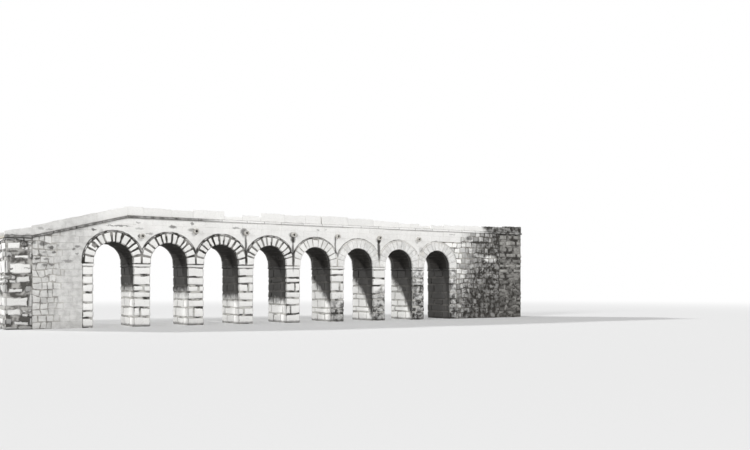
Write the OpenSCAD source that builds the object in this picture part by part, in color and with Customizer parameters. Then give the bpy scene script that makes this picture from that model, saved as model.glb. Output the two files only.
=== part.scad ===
// Eight-arch masonry road bridge, at half the size of the real one.
// Lengths are in millimetres of the half-size model.
// X runs along the bridge from west to east, Y across it and Z up.
// The origin is on the water line, at the middle of the bridge's length and width.

/* [Arches] */
// Number of arches
arch_count = 8; // [3:1:8]
// Clear span of each arch
span = 1550; // [1350:10:1750]
// Thickness of each pier along the bridge
pier_t = 700; // [560:10:800]
// Height of the springers' bed above the water line
springing_z = 2520; // [2200:10:2700]
// Straight height between the springers' bed and the arch centre
stilt_h = 100; // [60:5:160]
// Radial depth of the dressed face ring
ring_d = 430; // [380:5:480]
// Thickness of the barrel behind the face rings
barrel_t = 250; // [180:5:270]
// Arch stones in each face ring, an odd number
voussoirs = 13; // [9:2:15]
// Side of the square bar that cuts each bevelled joint between arch stones
joint_cut = 24; // [12:1:30]

/* [Width] */
// Width over the spandrel walls
wall_w = 1900; // [1700:10:2200]
// Thickness of spandrel and wing walls
wall_t = 260; // [220:5:320]
// Distance that rings, piers and end blocks stand proud of the walls
dressing_proud = 30; // [15:1:45]

/* [Imposts and spouts] */
// Height of the impost course on top of each pier
impost_h = 120; // [80:5:180]
// Projection of the impost course
impost_proud = 20; // [10:1:30]
// Radius of each round drain spout
spout_r = 110; // [80:5:130]
// Radius of the bore through the spouts
spout_bore_r = 55; // [30:1:60]
// Projection of the spouts from the wall
spout_proud = 150; // [100:5:180]
// Depth of the spouts' centre below the wall heads
spout_drop = 440; // [300:5:560]
// Depth of the first spout's centre, which lies lower than the others
first_spout_drop = 715; // [600:5:740]

/* [Deck line] */
// Height of the wall heads at the top of the west ramp
crest_z = 4350; // [4300:5:4450]
// Distance of that point east of the first arch's centre
crest_x = 560; // [300:10:700]
// Fall from there to the foot of the ramp
ramp_fall = 910; // [600:10:1000]
// Fall from there to the east end
east_fall = 20; // [0:5:220]
// Height of the string course
string_h = 95; // [70:5:120]
// Projection of the string course
string_proud = 70; // [40:5:100]
// Thickness of the road paving
paving_t = 70; // [40:5:90]

/* [Parapet] */
// Height of the parapet slabs
parapet_h = 385; // [320:5:480]
// Thickness of the parapet slabs
parapet_t = 190; // [150:5:220]
// Usual length of a parapet slab
slab_len = 1150; // [800:10:1500]
// Gap of the upright joints
slab_gap = 12; // [6:1:20]
// Bevel on the slabs' upper edges
slab_bevel = 22; // [10:1:35]
// Depth by which the most broken slab has lost its top
slab_loss = 210; // [0:5:240]
// Depth by which the slab on the west end block has sunk at its west end
end_drop = 230; // [100:5:250]
// Depth by which it has sunk at the foot of the ramp
foot_drop = 50; // [0:5:90]

/* [Ends] */
// Length from the first arch to the west end
west_len = 3210; // [2800:10:3600]
// Length of the west end block
west_block = 950; // [700:10:1200]
// Length from the last arch to the east end
east_len = 4700; // [4000:10:5200]
// Length of the east end block
east_block = 1510; // [1200:10:1800]

/* [Hidden] */
$fn = 96;
arch_fn = 288;
eps = 1;
pitch = span + pier_t;
total_len = west_len + arch_count * span + (arch_count - 1) * pier_t + east_len;
west_x = -total_len / 2;
east_x = total_len / 2;
first_jamb = west_x + west_len;
last_jamb = east_x - east_len;
centre_z = springing_z + stilt_h;
intrados_r = span / 2;
extrados_r = intrados_r + ring_d;
barrel_r = intrados_r + barrel_t;
dressed_w = wall_w + 2 * dressing_proud;
wall_y = wall_w / 2;
dressed_y = dressed_w / 2;
inner_y = wall_y - wall_t;
foot_x = west_x + west_block;
end_block_x = east_x - east_block;

// Centre of arch k along the bridge, counted from 1 at the west
function arch_x(k) = first_jamb + span / 2 + (k - 1) * pitch;
// Centre of pier k, between arches k and k + 1
function pier_x(k) = arch_x(k) + pitch / 2;

// Corners of the line that the wall heads follow
ramp_top_x = arch_x(1) + crest_x;
low_z = crest_z - ramp_fall;
DECK_LINE = [
    [west_x, low_z],
    [foot_x, low_z],
    [ramp_top_x, crest_z],
    [east_x, crest_z - east_fall],
];
// Height of the wall heads at x
function deck_z(x) = lookup(x, DECK_LINE);
// Height of the centre of the spout over pier k
function spout_z(k) = deck_z(pier_x(k)) - (k == 1 ? first_spout_drop : spout_drop);

// Two-dimensional shapes are drawn with x along the bridge and y for height,
// and across() stands them up between two positions across the bridge.
module across(y_from, y_to)
    translate([0, y_to, 0]) rotate([90, 0, 0]) linear_extrude(y_to - y_from) children();

// The near copy and its mirror image on the far side
module both_sides() {
    children();
    mirror([0, 1, 0]) children();
}

// A band of even height that follows the deck line
module deck_band(from_x, to_x, low, high) {
    inner = [for (p = DECK_LINE) if (p[0] > from_x && p[0] < to_x) p[0]];
    xs = concat([from_x], inner, [to_x]);
    last = len(xs) - 1;
    polygon(concat(
        [for (x = xs) [x, deck_z(x) + low]],
        [for (i = [last:-1:0]) [xs[i], deck_z(xs[i]) + high]]
    ));
}

// Wall elevation from z_from up to the wall heads
module wall_panel(from_x, to_x, z_from) {
    inner = [for (p = DECK_LINE) if (p[0] > from_x && p[0] < to_x) p];
    polygon(concat(
        [[from_x, deck_z(from_x)]],
        inner,
        [[to_x, deck_z(to_x)], [to_x, z_from], [from_x, z_from]]
    ));
}

// Outline of a stilted arch, carried down past the springers' bed for a clean cut
module arch_outline(r) {
    translate([0, centre_z]) circle(r, $fn = arch_fn);
    translate([-r, springing_z - eps]) square([2 * r, stilt_h + eps]);
}

// Half ring with straight legs that stand on the springers' bed
module stilted_ring(outer_r) {
    difference() {
        intersection() {
            arch_outline(outer_r);
            translate([-outer_r, springing_z]) square([2 * outer_r, stilt_h + outer_r + eps]);
        }
        arch_outline(intrados_r);
    }
}

// Bevelled joints between the arch stones on the near face.
// The lowest stone on each side takes in the straight leg below the arc.
module voussoir_joints() {
    for (i = [1:voussoirs - 1])
        translate([0, -dressed_y, centre_z])
            rotate([0, -i * 180 / voussoirs, 0])
                translate([intrados_r - eps, 0, 0])
                    rotate([45, 0, 0])
                        translate([0, -joint_cut / 2, -joint_cut / 2])
                            cube([ring_d + 2 * eps, joint_cut, joint_cut]);
}

// Face ring of one arch, cut back to the mitre over a pier it shares
module face_ring(mitre_west, mitre_east) {
    west_cut = mitre_west ? pitch / 2 : extrados_r;
    east_cut = mitre_east ? pitch / 2 : extrados_r;
    difference() {
        across(-dressed_y, -inner_y)
            intersection() {
                stilted_ring(extrados_r);
                translate([-west_cut, springing_z])
                    square([west_cut + east_cut, stilt_h + extrados_r]);
            }
        voussoir_joints();
    }
}

// Near and far face rings of arch k
module arch_ring(k)
    color("gainsboro")
        translate([arch_x(k), 0, 0])
            both_sides() face_ring(k > 1, k < arch_count);

// Barrel vault of arch k, between its two face rings
module vault(k)
    color("darkgray")
        translate([arch_x(k), 0, 0])
            across(-inner_y, inner_y) stilted_ring(barrel_r);

// Impost course round the top of a pier or an abutment's front
module impost(from_x, to_x)
    translate([from_x - impost_proud, -dressed_y - impost_proud, springing_z - impost_h])
        cube([to_x - from_x + 2 * impost_proud, dressed_w + 2 * impost_proud, impost_h]);

// Pier k, with its impost
module pier(k)
    color("gainsboro") {
        translate([pier_x(k) - pier_t / 2, -dressed_y, 0])
            cube([pier_t, dressed_w, springing_z - impost_h]);
        impost(pier_x(k) - pier_t / 2, pier_x(k) + pier_t / 2);
    }

// Front of an abutment, as thick as the face ring that springs from it
module abutment(from_x)
    color("gainsboro") {
        translate([from_x, -dressed_y, 0])
            cube([ring_d, dressed_w, springing_z - impost_h]);
        impost(from_x, from_x + ring_d);
    }

// Round bar through the wall over pier k, standing proud of its face
module through_wall(k, r, proud, depth)
    translate([pier_x(k), -wall_y - proud, spout_z(k)])
        rotate([-90, 0, 0]) cylinder(r = r, h = proud + depth);

// Round stone tubes that drain the road through the walls
module drain_spouts()
    color("silver")
        both_sides()
            for (k = [1:arch_count - 1])
                difference() {
                    through_wall(k, spout_r, spout_proud, wall_t);
                    through_wall(k, spout_bore_r, spout_proud + eps, wall_t + eps);
                }

// Spandrel wall over the haunches between from_x and to_x, near and far.
// The face rings carry it, so it is cut away round them.
module spandrel(from_x, to_x)
    color("lightgray")
        both_sides()
            across(-wall_y, -inner_y)
                difference() {
                    wall_panel(from_x, to_x, springing_z);
                    for (k = [1:arch_count]) translate([arch_x(k), 0]) arch_outline(extrados_r);
                }

// Spandrel wall over pier k, pierced for its drain spout
module pier_spandrel(k)
    difference() {
        spandrel(arch_x(k), arch_x(k + 1));
        both_sides() through_wall(k, spout_r, eps, wall_t + eps);
    }

// Wing wall of an approach, near and far
module wing(from_x, to_x)
    color("lightgray")
        both_sides() across(-wall_y, -inner_y) wall_panel(from_x, to_x, 0);

// Block of large dressed stone that ends the bridge, as wide as the piers.
// Its top course is the road's threshold.
module end_block(from_x, to_x)
    color("gainsboro") {
        across(-dressed_y, dressed_y) wall_panel(from_x, to_x, 0);
        paving(from_x, to_x);
    }

// Rubble and earth between the walls, over the vaults and behind the abutments
module rubble_fill()
    color("tan")
        across(-inner_y, inner_y)
            difference() {
                wall_panel(foot_x, end_block_x, 0);
                translate([first_jamb - ring_d, -eps])
                    square([last_jamb - first_jamb + 2 * ring_d, springing_z + eps]);
                for (k = [1:arch_count]) translate([arch_x(k), 0]) arch_outline(barrel_r);
            }

// Road surface between the parapets
module paving(from_x, to_x)
    across(-wall_y + parapet_t, wall_y - parapet_t)
        deck_band(from_x, to_x, 0, paving_t);

module roadway() color("darkkhaki") paving(foot_x, end_block_x);

module string_course()
    color("gainsboro")
        both_sides()
            across(-wall_y - string_proud, -wall_y + parapet_t)
                deck_band(west_x, east_x, 0, string_h);

// Bar with bevelled upper edges, along one straight run of the deck line,
// that a slab from from_x to to_x is cut out of. Each end's top is lower by its drop.
module parapet_bar(from_x, to_x, from_drop, to_drop) {
    from_z = deck_z(from_x) - from_drop;
    rise = deck_z(to_x) - to_drop - from_z;
    slope = atan2(rise, to_x - from_x);
    bar_h = (string_h + parapet_h) * cos(slope);
    translate([from_x, -wall_y, from_z])
        rotate([0, -slope, 0])
            translate([-parapet_h, 0, 0])
                rotate([90, 0, 90])
                    linear_extrude(norm([to_x - from_x, rise]) + 2 * parapet_h)
                        polygon([
                            [0, 0],
                            [parapet_t, 0],
                            [parapet_t, bar_h - slab_bevel],
                            [parapet_t - slab_bevel, bar_h],
                            [slab_bevel, bar_h],
                            [0, bar_h - slab_bevel],
                        ]);
}

// One slab, with upright joints, standing on the string course
module slab(from_x, to_x, from_drop, to_drop)
    intersection() {
        parapet_bar(from_x, to_x, from_drop, to_drop);
        across(-wall_y - eps, -wall_y + parapet_t + eps)
            deck_band(from_x + slab_gap / 2, to_x - slab_gap / 2, string_h, string_h + parapet_h + eps);
    }

// The level run's slabs from the top of the ramp eastwards, over and over:
// each one's length in usual slabs, and how much of its top is lost.
// That is a share of the most broken slab's loss, or GONE for a gap in the row.
GONE = 1;
SLAB_ROW = [
    [0.55, 0], [1, 0.15], [0.8, 0.25], [1.2, 0.05], [0.7, 0.95], [0.75, 0.6], [1, 0],
    [0.9, 0.15], [0.7, 0], [1.2, 0], [1.2, 0.2], [1.25, 0.45], [0.6, 0.7], [0.45, 0.55],
    [0.5, 0.95], [0.105, GONE], [0.65, 0.85], [1.15, 0.6], [1.05, 0.5], [1.2, 0.4], [1, 0.2],
];
// Where the slabs of the level run end, counted on from slab i that starts at x
function slab_ends(x, i) =
    let (end = x + slab_len * SLAB_ROW[i % len(SLAB_ROW)][0])
    end > east_x - slab_len / 2 ? [east_x] : concat([end], slab_ends(end, i + 1));

// Slabs of even length between two points of the deck line
module even_slabs(from_x, to_x, from_drop, to_drop) {
    count = max(1, round((to_x - from_x) / slab_len));
    step = (to_x - from_x) / count;
    fall = (to_drop - from_drop) / count;
    for (i = [0:count - 1])
        slab(from_x + i * step, from_x + (i + 1) * step, from_drop + i * fall, from_drop + (i + 1) * fall);
}

// Slabs on the level run, worn and broken along their tops
module level_slabs() {
    joints = concat([ramp_top_x], slab_ends(ramp_top_x, 0));
    for (i = [0:len(joints) - 2]) {
        loss = SLAB_ROW[i % len(SLAB_ROW)][1];
        if (loss != GONE) slab(joints[i], joints[i + 1], slab_loss * loss, slab_loss * loss);
    }
}

module near_parapet() {
    even_slabs(west_x, foot_x, end_drop, foot_drop);
    even_slabs(foot_x, ramp_top_x, 0, 0);
    level_slabs();
}

module parapet_near() color("gainsboro") near_parapet();
module parapet_far() color("gainsboro") mirror([0, 1, 0]) near_parapet();

function numbered(name, count) = [for (k = [1:count]) str(name, "_", k)];

end_block(west_x, foot_x);  // west_end_block
wing(foot_x, first_jamb - ring_d);  // west_wing
abutment(first_jamb - ring_d);  // west_abutment
spandrel(first_jamb - ring_d, arch_x(1));  // spandrel_west
for (k = [1:arch_count - 1]) {
    pier(k);
    pier_spandrel(k);
}
for (k = [1:arch_count]) {
    arch_ring(k);
    vault(k);
}
spandrel(arch_x(arch_count), last_jamb + ring_d);  // spandrel_east
abutment(last_jamb);  // east_abutment
wing(last_jamb + ring_d, end_block_x);  // east_wing
end_block(end_block_x, east_x);  // east_end_block
rubble_fill();
roadway();
string_course();
drain_spouts();
parapet_near();
parapet_far();
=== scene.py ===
"""Dresses a half-size stone arch bridge: its stones, mortar and weathering, with light and a camera.

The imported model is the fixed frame. Every stone is a rounded block, worked out as whole numpy arrays
from the sizes that the frame itself has, and laid over the plain solids or in place of them.
Lengths are in metres. X runs along the bridge, Y across it to the far face, and Z up.
"""

from __future__ import annotations

import logging
import math
from abc import ABC, abstractmethod
from collections.abc import Mapping, Sequence
from dataclasses import dataclass, replace
from enum import Enum
from functools import cache, cached_property
from itertools import pairwise
from typing import ClassVar

import bpy
import numpy as np
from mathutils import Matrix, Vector

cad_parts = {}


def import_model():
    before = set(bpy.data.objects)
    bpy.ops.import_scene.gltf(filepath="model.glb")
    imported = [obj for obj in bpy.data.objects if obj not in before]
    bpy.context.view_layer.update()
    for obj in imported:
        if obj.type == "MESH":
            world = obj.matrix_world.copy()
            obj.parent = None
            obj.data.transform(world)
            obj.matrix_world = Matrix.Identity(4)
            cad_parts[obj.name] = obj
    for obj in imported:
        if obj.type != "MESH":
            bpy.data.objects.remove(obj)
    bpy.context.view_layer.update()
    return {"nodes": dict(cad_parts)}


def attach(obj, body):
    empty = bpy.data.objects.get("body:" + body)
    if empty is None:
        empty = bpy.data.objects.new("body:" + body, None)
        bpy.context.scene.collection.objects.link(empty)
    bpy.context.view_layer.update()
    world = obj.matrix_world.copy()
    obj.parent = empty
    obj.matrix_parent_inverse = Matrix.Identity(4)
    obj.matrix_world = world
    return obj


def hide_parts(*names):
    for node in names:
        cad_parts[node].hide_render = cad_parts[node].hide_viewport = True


LOG = logging.getLogger("bridge")
BODY = "root"
TINT = "tint"
ARRIS = "arris"
TOUCH = 1e-3
LEAST_Z = 0.001
FIRST_BED = 0.003
Array = np.ndarray
Triple = tuple[float, float, float]
Colour = Triple
Span = tuple[Triple, Triple]
Range = tuple[float, float]
Settings = Mapping[str, object]
Inputs = Mapping[int | str, object]


class Slot(Enum):
    """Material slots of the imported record."""

    DRESSED = "dressed_stone"
    BLOCK = "block_stone"
    WALLING = "walling"
    PARAPET = "parapet_stone"
    VAULT = "vault_stone"
    PAVING = "paving"


class Side(Enum):
    """Faces of the bridge, by the sign that turns a near point into one of them."""

    NEAR = 1.0
    FAR = -1.0


# Sizes of the bridge


def corners(node: bpy.types.Object) -> Array:
    """Reads the corner points of a mesh.

    Args:
        node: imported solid.

    Returns:
        One row a point.
    """
    flat = np.zeros(len(node.data.vertices) * 3)
    node.data.vertices.foreach_get("co", flat)
    return flat.reshape(-1, 3)


def levels(values: Array) -> Array:
    """Different values to a tenth of a millimetre, in order."""
    return np.unique(np.round(values, 4))


def foot(points: Array) -> Array:
    """Places along the bridge of a solid's lowest points."""
    return points[points[:, 2] < points[:, 2].min() + TOUCH, 0]


def out_to(points: Array) -> float:
    """Greatest distance of points from the bridge's middle plane."""
    return float(np.abs(points[:, 1]).max())


@dataclass(frozen=True)
class BridgeForm:
    """Sizes and places of the bridge's parts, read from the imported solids."""

    arch_x: Array
    clear_r: float
    extrados_r: float
    centre_z: float
    springing_z: float
    impost_z: float
    pier_half: float
    abutment_t: float
    dressed_y: float
    impost_y: float
    wall_y: float
    inner_y: float
    string_y: float
    parapet_y: float
    west_x: float
    foot_x: float
    east_block_x: float
    east_x: float
    deck_x: Array
    deck_z: Array
    string_h: float
    road_h: float
    slabs: Array
    spout_z: Array
    spout_r: float
    bore_r: float
    spout_y: float

    @classmethod
    def from_nodes(cls, nodes: Mapping[str, bpy.types.Object]) -> BridgeForm:
        """Reads the sizes.

        Args:
            nodes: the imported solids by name.

        Returns:
            The sizes of the bridge.
        """
        count = sum(name.startswith("vault_") for name in nodes)
        vaults = [corners(nodes[f"vault_{k}"]) for k in range(1, count + 1)]
        arch_x = np.array([(v[:, 0].min() + v[:, 0].max()) / 2 for v in vaults])
        vault = vaults[0]
        barrel_r = float(np.ptp(vault[:, 0]) / 2)
        centre_z = float(vault[:, 2].max() - barrel_r)
        clear_r = float(np.abs(foot(vault) - arch_x[0]).min())
        ring = corners(nodes["arch_ring_2"])
        pier = corners(nodes["pier_1"])
        string = corners(nodes["string_course"])
        deck_x = levels(string[:, 0])
        at_x = [string[np.abs(string[:, 0] - x) < TOUCH, 2] for x in deck_x]
        deck_z = np.array([z.min() for z in at_x])
        spouts = corners(nodes["drain_spouts"])
        pier_x = (arch_x[1:] + arch_x[:-1]) / 2
        at_pier = [spouts[np.abs(spouts[:, 0] - x) < clear_r] for x in pier_x]
        spout_z = np.array([(s[:, 2].min() + s[:, 2].max()) / 2 for s in at_pier])
        reach = np.hypot(at_pier[0][:, 0] - pier_x[0], at_pier[0][:, 2] - spout_z[0])
        return cls(
            arch_x=arch_x,
            clear_r=clear_r,
            extrados_r=float(ring[:, 2].max() - centre_z),
            centre_z=centre_z,
            springing_z=float(vault[:, 2].min()),
            impost_z=float(levels(pier[:, 2])[1]),
            pier_half=float(np.ptp(foot(pier)) / 2),
            abutment_t=float(np.ptp(foot(corners(nodes["west_abutment"])))),
            dressed_y=out_to(ring),
            impost_y=out_to(pier),
            wall_y=out_to(corners(nodes["spandrel_1"])),
            inner_y=out_to(vault),
            string_y=out_to(string),
            parapet_y=float(np.abs(string[:, 1]).min()),
            west_x=float(deck_x[0]),
            foot_x=float(corners(nodes["west_end_block"])[:, 0].max()),
            east_block_x=float(corners(nodes["east_end_block"])[:, 0].min()),
            east_x=float(deck_x[-1]),
            deck_x=deck_x,
            deck_z=deck_z,
            string_h=float(np.ptp(at_x[0])),
            road_h=float(corners(nodes["roadway"])[:, 2].max() - deck_z.max()),
            slabs=cls.slab_ends(nodes["parapet_near"]),
            spout_z=spout_z,
            spout_r=float(reach.max()),
            bore_r=float(reach.min()),
            spout_y=out_to(spouts),
        )

    @staticmethod
    def slab_ends(parapet: bpy.types.Object) -> Array:
        """Finds each parapet slab as a run of triangles with clear air on both sides.

        Args:
            parapet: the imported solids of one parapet.

        Returns:
            One row a slab: its two ends along the bridge and the height of its top at each.
        """
        points = corners(parapet)
        loops = np.zeros(len(parapet.data.loops), int)
        parapet.data.loops.foreach_get("vertex_index", loops)
        spans = points[loops.reshape(-1, 3), 0]
        order = np.argsort(spans.min(1))
        starts, stops = spans.min(1)[order], np.maximum.accumulate(spans.max(1)[order])
        breaks = np.flatnonzero(starts[1:] > stops[:-1] + TOUCH)
        first = starts[np.concatenate([[0], breaks + 1])]
        last = stops[np.concatenate([breaks, [len(stops) - 1]])]
        tops = [[points[np.abs(points[:, 0] - x) < TOUCH, 2].max() for x in ends] for ends in zip(first, last)]
        return np.column_stack([first, last, np.array(tops)])

    @property
    def pitch(self) -> float:
        """Distance between arch centres."""
        return float(self.arch_x[1] - self.arch_x[0])

    @property
    def pier_x(self) -> Array:
        """Centres of the piers along the bridge."""
        return (self.arch_x[1:] + self.arch_x[:-1]) / 2

    @property
    def stilt(self) -> float:
        """Height of the straight legs of an arch."""
        return self.centre_z - self.springing_z

    @property
    def west_abutment(self) -> Range:
        """Back and front of the west abutment along the bridge."""
        front = float(self.arch_x[0] - self.clear_r)
        return front - self.abutment_t, front

    @property
    def east_abutment(self) -> Range:
        """Front and back of the east abutment along the bridge."""
        front = float(self.arch_x[-1] + self.clear_r)
        return front, front + self.abutment_t

    def head(self, x: Array | float) -> Array:
        """Height of the wall heads at x."""
        return np.interp(x, self.deck_x, self.deck_z)

    def bend(self, centre: Array | float, path: Array, radius: Array) -> tuple[Array, Array]:
        """Bends a straight course round an arch.

        The path runs along the clear arch: from 0 at the west springing of the arc to pi times the
        clear radius at the east one, straight down the legs before and after. A point lies at its
        radius from the arch centre, in the direction that its path length gives.

        Args:
            centre: place of the arch centre along the bridge.
            path: path lengths.
            radius: distances from the arch centre, same shape.

        Returns:
            Places along the bridge, and heights.
        """
        arc = math.pi * self.clear_r
        angle = np.clip(path, 0, arc) / self.clear_r
        drop = np.minimum(path, 0) + np.minimum(arc - path, 0)
        return centre - radius * np.cos(angle), self.centre_z + radius * np.sin(angle) + drop

    def within(self, x: Array, inset: float = 0.0) -> Array:
        """Places along the bridge, held between its ends."""
        return np.clip(x, self.west_x + inset, self.east_x - inset)

    def haunch(self, z: Array | float, least: float) -> Array:
        """Half width of an arch ring's outline at height z, never under least."""
        above = np.maximum(z - self.centre_z, 0)
        return np.sqrt(np.maximum(self.extrados_r**2 - above**2, least**2))


# Stones

PLACE_PRIMES = np.array([73856093, 19349663, 83492791])
SEED_PRIME = 40503
STIR_PRIME = 1274126177
WORD = 0xFFFFFFFF
FLAT_WEIGHT = 80


def xyz(x: Array | float, y: Array | float, z: Array | float) -> Array:
    """Points from their coordinates, any of which may be one number for all."""
    return np.stack(np.broadcast_arrays(x, y, z), -1)


def quads_between(rows: Array) -> Array:
    """Quads from each row of point numbers to the next, closed round the rows."""
    beside = np.roll(rows, -1, 1)
    return np.stack([rows[:-1], rows[1:], beside[1:], beside[:-1]], -1).reshape(-1, 4)


def put(name: str, data: bpy.types.ID) -> bpy.types.Object:
    """Adds an object to the scene.

    Args:
        name: name of the object.
        data: its mesh, lamp or camera.

    Returns:
        The object.
    """
    made = bpy.data.objects.new(name, data)
    bpy.context.scene.collection.objects.link(made)
    return made


def value_noise(points: Array, cell: float, seed: int) -> Array:
    """Smooth random numbers from -1 to 1 over space.

    Each corner of a cubic lattice has a fixed random number, hashed from its whole-number place, and
    a point takes the mean of its cell's eight corners, weighted by 3t^2 - 2t^3 along each axis.

    Args:
        points: places, the last axis being x, y, z.
        cell: side of the lattice's cells.
        seed: number of the random field.

    Returns:
        One number for each point.
    """
    place = points / cell
    low = np.floor(place).astype(np.int64)
    t = place - low
    t = t * t * (3 - 2 * t)
    total = np.zeros(points.shape[:-1])
    for corner in np.ndindex(2, 2, 2):
        at = low + np.array(corner)
        key = (np.bitwise_xor.reduce(at * PLACE_PRIMES, axis=-1) ^ (seed * SEED_PRIME)) & WORD
        key = ((key ^ (key >> 13)) * STIR_PRIME) & WORD
        key = key ^ (key >> 16)
        weight = np.prod(np.where(np.array(corner) == 1, t, 1 - t), axis=-1)
        total += weight * (key / (WORD / 2) - 1)
    return total


@dataclass(frozen=True)
class BlockGrid:
    """Surface grid of one rounded block, shared by all stones of a kind.

    Along each axis lie evenly spread flat stations and one more at either end, which the rounding
    pushes outwards. The points are those with an end station on at least one axis. A point's flat
    place p is from -1 to 1 on each axis, and its direction q is the unit vector of its ends' signs.
    """

    along: int = 3
    deep: int = 2
    high: int = 2
    most_rounding: ClassVar[float] = 0.45
    stone_step: ClassVar[Triple] = (3.71, 1.37, 2.93)
    face_cell: ClassVar[float] = 0.22
    chip_cell: ClassVar[float] = 0.09
    chipped: ClassVar[float] = 0.3

    @staticmethod
    def stations(count: int) -> tuple[Array, Array]:
        """Lays out one axis.

        Args:
            count: number of its flat stations.

        Returns:
            Flat places of its stations, and their signs: -1 and 1 at the ends and 0 between.
        """
        flat = np.concatenate([[-1], np.linspace(-1, 1, count), [1]])
        signs = np.concatenate([[-1], np.zeros(count), [1]])
        return flat, signs

    @cached_property
    def surface(self) -> tuple[Array, Array, Array]:
        """Flat places, unit directions and outward quads of the grid."""
        axes = [self.stations(count) for count in (self.along, self.deep, self.high)]
        shape = tuple(len(flat) for flat, _ in axes)
        index = np.stack(np.meshgrid(*[np.arange(n) for n in shape], indexing="ij"), -1)
        shell = ((index == 0) | (index == np.array(shape) - 1)).any(-1)
        number = np.full(shape, -1)
        number[shell] = np.arange(shell.sum())
        flat = np.stack([axes[i][0][index[..., i]] for i in range(3)], -1)[shell]
        sign = np.stack([axes[i][1][index[..., i]] for i in range(3)], -1)[shell]
        quads = []
        for axis, handed in ((0, 1), (1, -1), (2, 1)):
            for end, side in ((0, -1), (shape[axis] - 1, 1)):
                sheet = np.take(number, end, axis)
                quad = np.stack([sheet[:-1, :-1], sheet[1:, :-1], sheet[1:, 1:], sheet[:-1, 1:]], -1).reshape(-1, 4)
                quads.append(quad if side * handed > 0 else quad[:, ::-1])
        return flat, sign / np.linalg.norm(sign, axis=1, keepdims=True), np.concatenate(quads)

    @property
    def quads(self) -> Array:
        """Faces of one block."""
        return self.surface[2]

    @cached_property
    def arris(self) -> Array:
        """1 on the edges and corners of a block and 0 on its faces."""
        return (np.count_nonzero(self.surface[1], axis=1) > 1).astype(float)

    def shape(self, low: Array, high: Array, rounding: float) -> Array:
        """Rounded blocks between opposite corners.

        With c the middle, h the half size and r the rounding, a point lies at c + p (h - r) + r q.

        Args:
            low: lowest corners, one row each.
            high: highest corners, one row each.
            rounding: radius of the edges.

        Returns:
            Points by stone, point and axis.
        """
        flat, out, _ = self.surface
        half = (high - low)[:, None] / 2
        middle = (high + low)[:, None] / 2
        r = np.minimum(rounding, self.most_rounding * half.min(axis=2, keepdims=True))
        return middle + flat * (half - r) + out * r

    def wear(self, points: Array, depth: float, chips: float, seed: int) -> Array:
        """Makes blocks uneven.

        A face point moves along its direction by depth times smooth noise, and a point of an edge
        also moves inwards by up to chips, as a finer noise has it. Each stone reads the noise at
        its own step away, so that neighbours differ.

        Args:
            points: points by stone, point and axis.
            depth: greatest rise or fall of the faces.
            chips: greatest loss at the edges.
            seed: number of the random field.

        Returns:
            The moved points.
        """
        out = self.surface[1]
        own = points + np.arange(len(points))[:, None, None] * np.array(self.stone_step)
        rise = depth * value_noise(own, self.face_cell, seed)
        loss = chips * self.arris * np.maximum(value_noise(own, self.chip_cell, seed + 1) + self.chipped, 0)
        return points + out * (rise - loss)[..., None]

    def stones(self, low: Array, high: Array, rounding: float, depth: float, chips: float, seed: int) -> Array:
        """Rounded blocks between opposite corners, made uneven."""
        return self.wear(self.shape(low, high, rounding), depth, chips, seed)


class StoneMesh:
    """Gathers stones into the mesh of one piece."""

    def __init__(self) -> None:
        """Starts with no stones."""
        self.points: list[Array] = []
        self.faces: list[Array] = []
        self.tints: list[Array] = []
        self.arrises: list[Array] = []
        self.materials: list[Array] = []
        self.count = 0
        self.stones = 0

    def add(self, grid_faces: Array, points: Array, tint: Array, arris: Array, material: int = 0) -> None:
        """Adds closed shapes that share one set of faces, turned outwards.

        The signed volume of a closed shape is a sixth of the sum of its triangles' triple products,
        and a negative one means that its faces point inwards.

        Args:
            grid_faces: quads of one shape.
            points: points by shape, point and axis.
            tint: one number from -1 to 1 for each shape.
            arris: one number from 0 to 1 for each point of a shape.
            material: place of its finish among the piece's finishes.
        """
        shapes, size = points.shape[:2]
        local = points - points.mean(axis=1, keepdims=True)
        a, b, c, d = (local[:, grid_faces[:, i]] for i in range(4))
        triple = (np.cross(a, b) * c).sum(-1) + (np.cross(a, c) * d).sum(-1)
        inward = triple.sum(axis=1) < 0
        faces = grid_faces[None] + (np.arange(shapes) * size)[:, None, None]
        faces[inward] = faces[inward][:, :, ::-1]
        self.points.append(points.reshape(-1, 3))
        self.faces.append(faces.reshape(-1, 4) + self.count)
        self.tints.append(np.repeat(tint, size))
        self.arrises.append(np.tile(arris, shapes))
        self.materials.append(np.full(shapes * len(grid_faces), material))
        self.count += shapes * size
        self.stones += shapes

    def add_sides(self, grid_faces: Array, points: Array, tint: Array, arris: Array, material: int = 0) -> None:
        """Adds near shapes and their mirror images on the far side."""
        for side in Side:
            self.add(grid_faces, points * np.array([1, side.value, 1]), tint, arris, material)

    def build(self, name: str) -> bpy.types.Object:
        """Makes the piece, with its tint and arris attributes.

        Args:
            name: name of the piece.

        Returns:
            The object, at the origin.
        """
        points, faces = np.concatenate(self.points), np.concatenate(self.faces)
        mesh = bpy.data.meshes.new(name)
        mesh.vertices.add(len(points))
        mesh.vertices.foreach_set("co", points.ravel())
        mesh.loops.add(faces.size)
        mesh.loops.foreach_set("vertex_index", faces.ravel())
        mesh.polygons.add(len(faces))
        mesh.polygons.foreach_set("loop_start", np.arange(0, faces.size, faces.shape[1]))
        mesh.polygons.foreach_set("loop_total", np.full(len(faces), faces.shape[1]))
        mesh.polygons.foreach_set("material_index", np.concatenate(self.materials))
        mesh.polygons.foreach_set("use_smooth", np.ones(len(faces), bool))
        for attribute, values in ((TINT, self.tints), (ARRIS, self.arrises)):
            layer = mesh.attributes.new(attribute, "FLOAT", "POINT")
            layer.data.foreach_set("value", np.concatenate(values))
        mesh.update(calc_edges=True)
        return put(name, mesh)


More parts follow.
